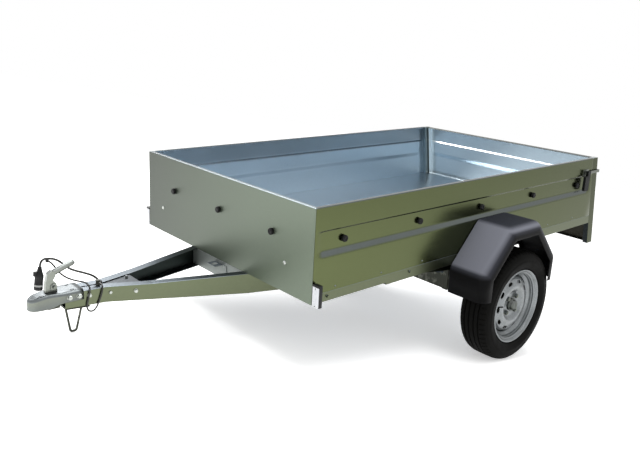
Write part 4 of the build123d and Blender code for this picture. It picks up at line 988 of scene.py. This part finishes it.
for side in ("left", "right"):
    wheel_piece(tyre_shape(), side, "road_tyre_", tyre_rubber, "tyre_")
print("tread pitches:", TREAD_PITCHES)

# %% The vented disc
VENTS = 10
VENT_CIRCLE, VENT_LONG, VENT_WIDE = 116, 17, 8.8
VENT_LOW, VENT_HIGH = VENT_CIRCLE - 12.5, VENT_CIRCLE + 11.5
DISC_MAP = ((31, 32), (30, 33.5), (30, 57), (31, 61.5), (35, 67), (42, 74), (45.6, 79), (46.5, 84),
            (46.5, 92), (45.8, 97), (43.6, 104), (39, 121), (37, 126), (32.5, 130.5), (14, 141), (8, 141.8))


def disc_height(radius):
    """How far the disc stands out at a radius."""
    for (x0, r0), (x1, r1) in zip(DISC_MAP, DISC_MAP[1:]):
        if r0 <= radius <= r1:
            return x0 + (x1 - x0) * (radius - r0) / (r1 - r0)
    return DISC_MAP[-1][0]


def disc_shape():
    """The domed disc with its vents, as one sheet."""
    shape = bmesh.new()
    half = math.pi / VENTS
    tall = VENT_HIGH - VENT_LOW
    across = [half * k / 4 for k in range(-4, 5)]
    levels = [VENT_LOW + tall * k / 4 for k in range(1, 4)]

    def vert(turn, angle, radius):
        a = turn + angle
        return shape.verts.new((disc_height(radius), radius * math.cos(a), radius * math.sin(a)))

    rings = [r for x, r in DISC_MAP]
    bands = ([r for r in rings if r < VENT_LOW] + [VENT_LOW],
             [VENT_HIGH] + [r for r in rings if r > VENT_HIGH])
    for number in range(VENTS):
        turn = 2 * half * number
        for band in bands:
            stitched(shape, [[vert(turn, angle, radius) for angle in across] for radius in band])
        border = [(angle, VENT_LOW) for angle in across] + [(half, r) for r in levels]
        border += [(angle, VENT_HIGH) for angle in reversed(across)] + [(-half, r) for r in reversed(levels)]
        loops = [[], [], []]
        for angle, radius in border:
            way = math.atan2((radius - VENT_CIRCLE) / tall, angle / (2 * half))
            hole = (math.cos(way) * VENT_LONG / VENT_CIRCLE, VENT_CIRCLE + math.sin(way) * VENT_WIDE)
            loops[0].append(vert(turn, angle, radius))
            loops[1].append(vert(turn, 0.3 * angle + 0.7 * hole[0], 0.3 * radius + 0.7 * hole[1]))
            loops[2].append(vert(turn, *hole))
        stitched(shape, loops, around=True)
    bmesh.ops.remove_doubles(shape, verts=shape.verts, dist=0.01)
    outwards(shape, (1, 0, 0))
    return shape


print("vents:", VENTS)

# %% Steel wheels
DISC_SHEET = 4
BARREL = ((68, 176.5), (68, 180.5), (66, 182), (64.2, 181), (63, 178), (57.2, 172.2), (52, 166.2),
          (34, 164.2), (31.5, 162.5), (24.5, 148.5), (22, 146.2), (-16, 146.2), (-18.5, 148.5),
          (-26, 162.5), (-28, 164.2), (-52, 166.2), (-57.2, 172.2), (-63, 178), (-64.2, 181), (-66, 182),
          (-68, 180.5), (-68, 176.5), (-62, 171), (-56, 162.4), (-28, 160.4), (-25, 158), (-17, 143.5),
          (-15, 142.4), (21, 142.4), (23, 143.5), (31, 156.6), (34, 158.6), (43.5, 159.2), (45.5, 161.6),
          (53, 162.2), (55.5, 164.6), (57.5, 168.4), (60.5, 169.4), (63, 172.4))
STUD_CIRCLE, STUDS = 50, [math.tau * (k + 0.5) / 4 for k in range(4)]
HUB = ((-70, 15), (-70, 34.5), (-67.5, 37), (-30, 37), (-28, 41), (-10, 41), (-6, 46), (14.5, 46),
       (16, 60.5), (17.5, 62), (23.5, 62), (25, 60.5), (25, 31.5), (40, 31), (41.5, 29.5), (41.5, 26.2),
       (43, 25), (50, 24.6), (54.5, 22.5), (57, 18), (57, 11), (55.8, 9), (55.8, 0))
# A black ring behind the disc stands in for the shade inside the wheel, so the vents look dark: a painted
# shade sheet.
VENT_SHADE_DISC = ((-24, 37), (-24, 132), (-21, 137), (-14, 139), (-12.5, 137), (-19, 132), (-21.5, 128),
          (-21.5, 37))
VALVE = ((60, -150, 30), (66, -147, 31), (74, -141, 33), (78, -139, 34))

for side in ("left", "right"):
    wheel_piece(turned(BARREL, 96, ring=True), side, "wheel_barrel_", wheel_paint, "rim_")
    thickened(wheel_piece(disc_shape(), side, "wheel_disc_", wheel_paint, "rim_", False), DISC_SHEET)
    hub = joined(turned(HUB, 48), turned([(-70, 0), (-70, 15)], 48))
    wheel_piece(hub, side, "wheel_hub_", hub_zinc, "hub_")
    nuts = joined(*(hexagon_bolt((30, STUD_CIRCLE * math.cos(a), STUD_CIRCLE * math.sin(a)), (1, 0, 0),
                                 19, 3) for a in STUDS))
    wheel_piece(nuts, side, "wheel_nuts_", fitting_zinc)
    # Painted shade: a black ring behind the vents.
    wheel_piece(turned(VENT_SHADE_DISC, 64, ring=True), side, "vent_shade_disc_", painted_steel)
    wheel_piece(tube(VALVE, 3.4, 12), side, "valve_", hook_rubber)
print("wheels made")

# %% [markdown]
# ## Mudguards
#
# A mudguard's side view is a line with four rounded bends, and every part of its section is that line
# set in by some distance: nothing on the top, more round the corner, and most at the skirt's edge.

# %% The moulded sheet
GUARD_INNER_X, GUARD_WIDTH = 625.5, 200
GUARD_MIDDLE_Y, GUARD_HALF, GUARD_TOP_HALF = 1145, 300, 118
GUARD_TOP, GUARD_CREASE, GUARD_BOTTOM = 186, -12, -138
GUARD_BEND, GUARD_CORNER, GUARD_SKIRT, GUARD_FLANGE = 52, 46, 62, 24
GUARD_SHEET = 4


def guard_line(across, inset):
    """The side view's line, set in, with its bends rounded."""
    slant = math.atan2(GUARD_TOP - GUARD_CREASE, GUARD_HALF - GUARD_TOP_HALF)
    crease = inset * math.tan((math.pi / 2 - slant) / 2)
    top = inset * math.tan(slant / 2)
    half = GUARD_HALF - inset
    points = [(-half, GUARD_BOTTOM), (-half, GUARD_CREASE - crease),
              (-GUARD_TOP_HALF + top, GUARD_TOP - inset)]
    points += [(-y, z) for y, z in reversed(points)]
    line = rounded(points, [max(GUARD_BEND - inset, 10)] * 4)
    return [(GUARD_INNER_X + across, GUARD_MIDDLE_Y + y, z) for y, z in line]


guard_section = [(0, GUARD_FLANGE), (0, 6), (0.4, 3.4), (1.6, 1.4), (3.4, 0.3), (6, 0), (60, 0), (120, 0)]
guard_section += [(GUARD_WIDTH - GUARD_CORNER * (1 - math.sin(a)), GUARD_CORNER * (1 - math.cos(a)))
                  for a in [step * math.pi / 18 for step in range(10)]]
guard_section += [(GUARD_WIDTH, 52), (GUARD_WIDTH, GUARD_SKIRT - 3), (GUARD_WIDTH - 0.6, GUARD_SKIRT - 1),
                  (GUARD_WIDTH - 2, GUARD_SKIRT)]
guard_sheet = skinned([guard_line(*place) for place in guard_section])
outwards(guard_sheet, (1, 0, 1))
for side, shape in (("right", mirrored(guard_sheet)), ("left", guard_sheet)):
    thickened(finished(shape, "guard_" + side, guard_plastic, "mudguard_" + side, closed=False),
              GUARD_SHEET)
guard_bolts = [hexagon_bolt((GUARD_INNER_X + GUARD_SHEET, GUARD_MIDDLE_Y + y, z), (1, 0, 0), 10)
               for y, z in ((-255, 20), (-90, 172), (90, 172), (255, 20))]
finished(both_sides(*guard_bolts), "guard_bolts", fitting_zinc)
print("mudguards made")

# %% [markdown]
# ## Drawbar, coupling and stand
#
# The small fittings keep the construction model's forms with rounded edges. The coupling's shell, the
# stand's rod, the plug, the gland and the collar are drawn again.

# %% Softened fittings
SOFT_FITTINGS = (
    # finish, edge radius in mm, nodes, and the record's slot where it isn't the finish's own
    (lever_zinc, 2.4, "coupling_lever"),
    (neck_zinc, 1, "neck_plate"),
    (painted_steel, 2, "ball_clamp"),
    (member_zinc, 1.2, "plug_holder"),
    (painted_steel, 1.3, "wire_anchor", "bright_zinc"),
    (fitting_zinc, 1, "gate_latches", "galvanised_frame"),
    (hook_rubber, 3, "latch_grips", "black_plastic"),
    (frame_steel, 0.8, "gate_hinges fixed_hinges"),
    (painted_steel, 2.5, "axle_arms"),
)
for finish, radius, nodes, *slot in SOFT_FITTINGS:
    for node in nodes.split():
        softened(node, finish, radius, *slot)
print("kinds of small fittings:", len(SOFT_FITTINGS))

# %% The pressed coupling
HEAD_RADIUS, HEAD_Y, NECK_X = 33.4, -794.6, 48.3
SHELL_END = -635
SHELL_ROUND, SHELL_SHEET = 13, 3.4
SHELL_TOP, NOSE_DROP, NOSE_FROM, NOSE_LENGTH = 19, 14, -748, 80
SKIRT, SKIRT_DROP, SKIRT_FROM, SKIRT_LENGTH = -21, 16, -712, 50
ROUND_STEPS = (0, 0.35, 0.7, 1.05, 1.3, math.pi / 2)


def shell_top(y):
    """Height of the coupling's top, which falls away to the nose."""
    return SHELL_TOP - NOSE_DROP * max(0, (NOSE_FROM - y) / NOSE_LENGTH) ** 1.6


def shell_skirt(y):
    """Height of the lower edge, which is deeper round the socket."""
    part_way = min(1, max(0, (SKIRT_FROM - y) / SKIRT_LENGTH))
    return SKIRT - SKIRT_DROP * part_way * part_way * (3 - 2 * part_way)


plan = [Vector(point) for point in (
    (NECK_X, SHELL_END), (NECK_X, -656), (NECK_X, -680), (NECK_X, -698), (47.6, -712), (45.2, -726),
    (41.6, -742), (37.8, -758), (35, -774))]
plan += [Vector((HEAD_RADIUS * math.cos(a), HEAD_Y - HEAD_RADIUS * math.sin(a)))
         for a in (0.1, 0.35, 0.6, 0.85, 1.1, 1.33, math.pi / 2)]
nose = len(plan) - 1
plan += [Vector((-x, y)) for x, y in reversed(plan[:-1])]


def plan_row(inset, edge, lift):
    """The plan line moved inwards, at a lift above the shell's top or skirt."""
    row = []
    for i, here in enumerate(plan):
        way = (plan[min(i + 1, len(plan) - 1)] - plan[max(i - 1, 0)]).normalized()
        moved = here + Vector((way.y, -way.x)) * inset
        row.append((moved.x, min(moved.y, SHELL_END), edge(here.y) + lift))
    return row


shell_rows = [plan_row(-0.9, shell_skirt, 0), plan_row(-0.9, shell_skirt, 3), plan_row(0, shell_skirt, 5)]
shell_rows += [plan_row(SHELL_ROUND * (1 - math.cos(a)), shell_top, -SHELL_ROUND * (1 - math.sin(a)))
               for a in ROUND_STEPS]
top_row = [Vector(point) for point in shell_rows[-1]]
crown = [[left.lerp(right, part) for part in (0, 0.3, 0.5, 0.7, 1)]
         for left, right in zip(top_row[:nose], reversed(top_row))]
shell = joined(skinned(shell_rows), skinned(crown + [[top_row[nose]] * 5]))
bmesh.ops.remove_doubles(shell, verts=shell.verts, dist=0.01)
outwards(shell, (0, 0, 1))
thickened(finished(shell, "pressed_coupling", fitting_zinc, "coupling_head", closed=False),
          SHELL_SHEET)
print("points round the coupling:", len(plan))

# %% Socket, lever and bolts
BALL, BALL_X = (25.4, 28.6), -26
BALL_STEPS = (0.3, 0.6, 0.9, 1.2, 1.45)
UP, LEFT, AHEAD, BACK = (0, 0, 1), (1, 0, 0), (0, -1, 0), (0, 1, 0)

bowl = [(-36, BALL[0]), (BALL_X, BALL[0])]
bowl += [(BALL_X + BALL[0] * math.sin(a), BALL[0] * math.cos(a)) for a in BALL_STEPS]
bowl += [(-0.6, 0), (2.6, 0)]
bowl += [(BALL_X + BALL[1] * math.sin(a), BALL[1] * math.cos(a)) for a in reversed(BALL_STEPS)]
bowl += [(BALL_X, BALL[1]), (-34, BALL[1]), (-36, 32.2), (-37, 32.2), (-37, 27)]
finished(aimed(turned(bowl, 40, ring=True), (0, HEAD_Y, 0), UP), "ball_socket", fitting_zinc,
         "coupling_head")
grip = turned([(0, 0), (0, 9.8), (1.5, 11.4), (75, 11.4), (79, 10.2), (82.5, 6.5), (83.5, 0)], 28)
finished(aimed(grip, (0, -728.5, 89.5), (0, 80, 30)), "lever_grip", lever_zinc)
finished(joined(hexagon_bolt((15, -733, 38), LEFT, 11), hexagon_bolt((-15, -733, 38), (-1, 0, 0), 11)),
         "lever_pivot_nuts", fitting_zinc)
tie = soft_block((-24, -747.5, 127), (-13, -736, 143.5), 3, 3)
wire_tie = finished(tie, "wire_tie", case_plastic, "wire_clip")
arm_bolts = [hexagon_bolt((NECK_X, y, z), LEFT, 15, 2) for y, z in ((-690, -2), (-654, -3))]
arm_bolts += [hexagon_bolt((44, y, z), LEFT, 12) for y, z in ((-612, -12), (-530, -18))]
arm_bolts += [hexagon_bolt((78.8, -438, -22), (0.952, -0.306, 0), 12)]
finished(both_sides(*arm_bolts), "drawbar_bolts", bolt_zinc)
finished(joined(cup_bolt((-28, -672, 19), UP, 6.5, 3), cup_bolt((28, -672, 19), UP, 6.5, 3),
                hexagon_bolt((-22, -428, -1.4), UP, 10)), "neck_bolts", fitting_zinc)
print("bolts on each arm:", len(arm_bolts))

# %% Stand
ROD_RADIUS = 4.6
STAND_LINE = ((-690, -53), (-673, -162.4), (-650, -162.4), (-623, -53))
stand = tube([(0, y, z) for y, z in rounded(STAND_LINE, (10, 10))], ROD_RADIUS, 16)
stand_plate = skinned([[(x, -705, -47.8), (x, -611, -53.4), (x, -611, -60), (x, -705, -52)]
                       for x in (-44, 44)], around=True, caps=True)
finished(joined(stand, edges_rounded(stand_plate, 1.2)), "bent_rod_stand", painted_steel, "prop_stand")
print("stand made")

# %% Plug, gland and grommet
PLUG_TOP = Vector(CABLE_ROUTE[-1])
PLUG_WAY = (PLUG_TOP - Vector(CABLE_ROUTE[-2])).normalized()
PLUG_FRONT = Vector((-0.005, -0.99, 0.137))


def ribs(count, start, pitch, reach, growth, outline):
    """Profile points of a row of ribs that repeat an outline."""
    return [(start + pitch * k + x, reach + growth * k + r) for k in range(count) for x, r in outline]


plug_profile = [(0, 0), (0, 5.2), (1.5, 6.6)]
plug_profile += ribs(4, 3, 4.5, 7.2, 1, ((0, 0), (2.2, 0.3), (2.6, -1), (4.2, -0.7)))
plug_profile += [(21.5, 12.2), (29, 14.2), (31, 15.6), (33, 16), (41, 16), (42, 15.2), (64, 15.2),
                 (65, 15.9), (66.5, 16), (66.5, 0)]
plug_lid = [(73.6, 0), (73.6, 15.4), (75, 16), (84, 16), (86.8, 15), (88, 13), (88, 6), (87, 5), (87, 0)]
plug_ring = [(66.5, 0), (66.5, 15.6), (67.5, 15.9), (72.6, 15.9), (73.6, 15.4), (73.6, 0)]
plug_body = joined(turned(plug_profile, 40), turned(plug_lid, 40), soft_block((17, -6, 9), (35, 6, 21.8), 2),
                   soft_block((34, -2, 14), (82, 2, 16), 0.7))
plug_side = PLUG_FRONT.cross(PLUG_WAY).normalized()
plug_turn = Matrix((PLUG_WAY, plug_side, PLUG_FRONT)).transposed().to_4x4()
for shape, name, finish in ((plug_body, "plug_shell", case_plastic),
                            (turned(plug_ring, 40), "plug_ring", grey_plastic)):
    bmesh.ops.transform(shape, matrix=Matrix.Translation(PLUG_TOP) @ plug_turn, verts=shape.verts)
    finished(shape, name, finish, "plug")

gland_profile = [(0, 0), (0, 9), (6.5, 9), (7.5, 8.4)]
gland_profile += ribs(3, 8.5, 4.2, 8.2, -0.8, ((0, 0), (2, -0.3), (2.4, -1.3), (3.8, -1.4)))
gland_profile += [(21, 6), (22, 5.2), (22, 0)]
gland = finished(aimed(turned(gland_profile, 28), (78, -430, -40), (-1, 0, 0)), "cable_strain_relief",
                 hook_rubber, "cable_gland")
collar = turned([(0, 7.2), (0, 11.4), (0.8, 12), (3, 12), (4, 10.8), (4, 8), (3.2, 7.2)], 32, ring=True)
finished(aimed(collar, (-16, -546, 7.4), UP), "neck_collar", hook_rubber, "neck_grommet")
print("plug, gland and collar made")

# %% The two lines get the cable sheath's finish
cable.data.materials.append(cable_sheath)
wire.data.materials.append(cable_sheath)
print("drawbar dressed")

# %% [markdown]
# ## Hooks, markers, lamps and fasteners
#
# The tarpaulin hooks are rubber knobs with a dished face. The lamps have a black case and separate
# lenses. Bolts and rivets sit where the panels meet the frame.

# %% Tarpaulin hooks
HOOK_PROFILE = ((0, 0), (0, 9), (2, 9), (2.5, 9.6), (2.7, 12.8), (3.4, 13.7), (4.6, 14), (11.6, 14),
                (13.6, 13.3), (15.2, 11.6), (16, 9.4), (16, 6.4), (15.2, 5.2), (15, 0))
HOOK_LEVEL, FRONT_HOOK_LEVEL = 240, 229
HOOK_PITCH, SIDE_HOOK_PITCH, FIRST_HOOK, SIDE_HOOKS = 375, 446, 155, 5


def hook(x, y, z, way):
    """One hook on a wall, facing a way."""
    return aimed(turned(HOOK_PROFILE), (x, y, z), way)


side_hooks = [hook(HALF_WIDTH - BAND_DEPTH, FIRST_HOOK + SIDE_HOOK_PITCH * k, HOOK_LEVEL, LEFT)
              for k in range(SIDE_HOOKS)]
front_hooks = [hook(HOOK_PITCH * k, 0, FRONT_HOOK_LEVEL, AHEAD) for k in (-1, 0, 1)]
gate_hooks = [hook(HOOK_PITCH * k, BOX_LENGTH - BAND_DEPTH, HOOK_LEVEL, BACK) for k in (-1, 0, 1)]
print("hooks:", 2 * len(side_hooks) + len(front_hooks) + len(gate_hooks))
finished(joined(both_sides(*side_hooks), *front_hooks), "hooks_box", hook_rubber, "tarp_hooks")
finished(joined(*gate_hooks), "hooks_tailgate", hook_rubber, "tarp_hooks_tailgate",
         place=AT_REAR)

# %% Front markers
MARKER_LOW, MARKER_HIGH, MARKER_X, MARKER_FACE = -2, 88, 646, -2
STUB = ((0, 0), (0, 9.5), (0.7, 9), (0.7, 8), (0.1, 7.4), (0.1, 0))
case = [soft_block((628, 2, MARKER_LOW), (664, 20, MARKER_HIGH), 2.5, 3),
        soft_block((625, 8, 4), (629, 34, 78), 0.8),
        soft_block((629, -1.2, MARKER_HIGH - 7), (663, 4, MARKER_HIGH), 1)]
finished(both_sides(*case), "marker_cases", case_plastic, "front_markers")
glass = [soft_block((629.5, MARKER_FACE, MARKER_LOW + 1.5), (662.5, 4, MARKER_HIGH - 8), 1.5, 3)]
glass += [aimed(turned(STUB, 28), (MARKER_X, MARKER_FACE, z), AHEAD) for z in (18, 40, 62)]
finished(both_sides(*glass), "marker_glass", white_lens, "marker_lenses")
screws = [cup_bolt((MARKER_X, MARKER_FACE, z), AHEAD, 2.8, 1.4) for z in (74.5, 4.5)]
finished(both_sides(*screws), "marker_screws", fitting_zinc)
print("front markers made")

# %% Rear lamps and blank plate
LAMP_OUTER, LAMP_INNER, LAMP_TALL, LAMP_DEEP, LAMP_LEVEL = 593, 443, 96, 34, -69
lamp_middle = RAKE_LEVEL - (RAKE_LEVEL - LAMP_LEVEL) / math.cos(RAKE)
low_z, high_z = lamp_middle - LAMP_TALL / 2, lamp_middle + LAMP_TALL / 2
face_y = BOX_LENGTH + LAMP_DEEP
lamp_case = soft_block((LAMP_INNER, BOX_LENGTH, low_z), (LAMP_OUTER, face_y - 8, high_z), 5, 3)
finished(both_sides(lamp_case), "lamp_cases", case_plastic, "rear_lamps", place=AT_REAR)
for name, x0, x1, z0, z1, finish in (
        ("indicator", LAMP_OUTER - 56, LAMP_OUTER - 3, low_z + 3, high_z - 3, amber_lens),
        ("stop_and_tail", LAMP_INNER + 3, LAMP_OUTER - 58, lamp_middle + 4, high_z - 3, red_lens),
        ("plate_light", LAMP_INNER + 3, LAMP_OUTER - 58, low_z + 3, lamp_middle + 2, red_lens)):
    glass = soft_block((x0, face_y - 12, z0), (x1, face_y, z1), 3, 3)
    finished(both_sides(glass), "lens_" + name, finish, place=AT_REAR)
softened("number_plate", plate_enamel, 0.7)
screws = [cup_bolt((x, BOX_LENGTH + 2, lamp_middle), BACK, 5, 2.4) for x in (-180, 180)]
finished(joined(*screws), "plate_screws", fitting_zinc, place=AT_REAR)
print("rear lamps and plate made")

# %% Bolts and rivets on the walls
RIVET_PLACES, GUARD_FROM, GUARD_TO = range(120, 2000, 260), 840, 1450
front_bolts = [cup_bolt((x, 0, z), AHEAD, 8.5, 4) for x, z in ((-489, 121), (457, 121))]
finished(joined(*front_bolts), "front_bolts", bolt_zinc)
side_rivets = [cup_bolt((HALF_WIDTH, y, 52), LEFT, 4.5, 2) for y in RIVET_PLACES
               if not GUARD_FROM < y < GUARD_TO]
rail_bolts = [hexagon_bolt((HALF_WIDTH, y, 20), LEFT, 9) for y in (80, 560, 1580)]
finished(both_sides(*side_rivets, *rail_bolts), "rivets_and_rail_bolts", frame_steel)
print("rivets on each side:", len(side_rivets))

# %% The scene is brought up to date
bpy.context.view_layer.update()
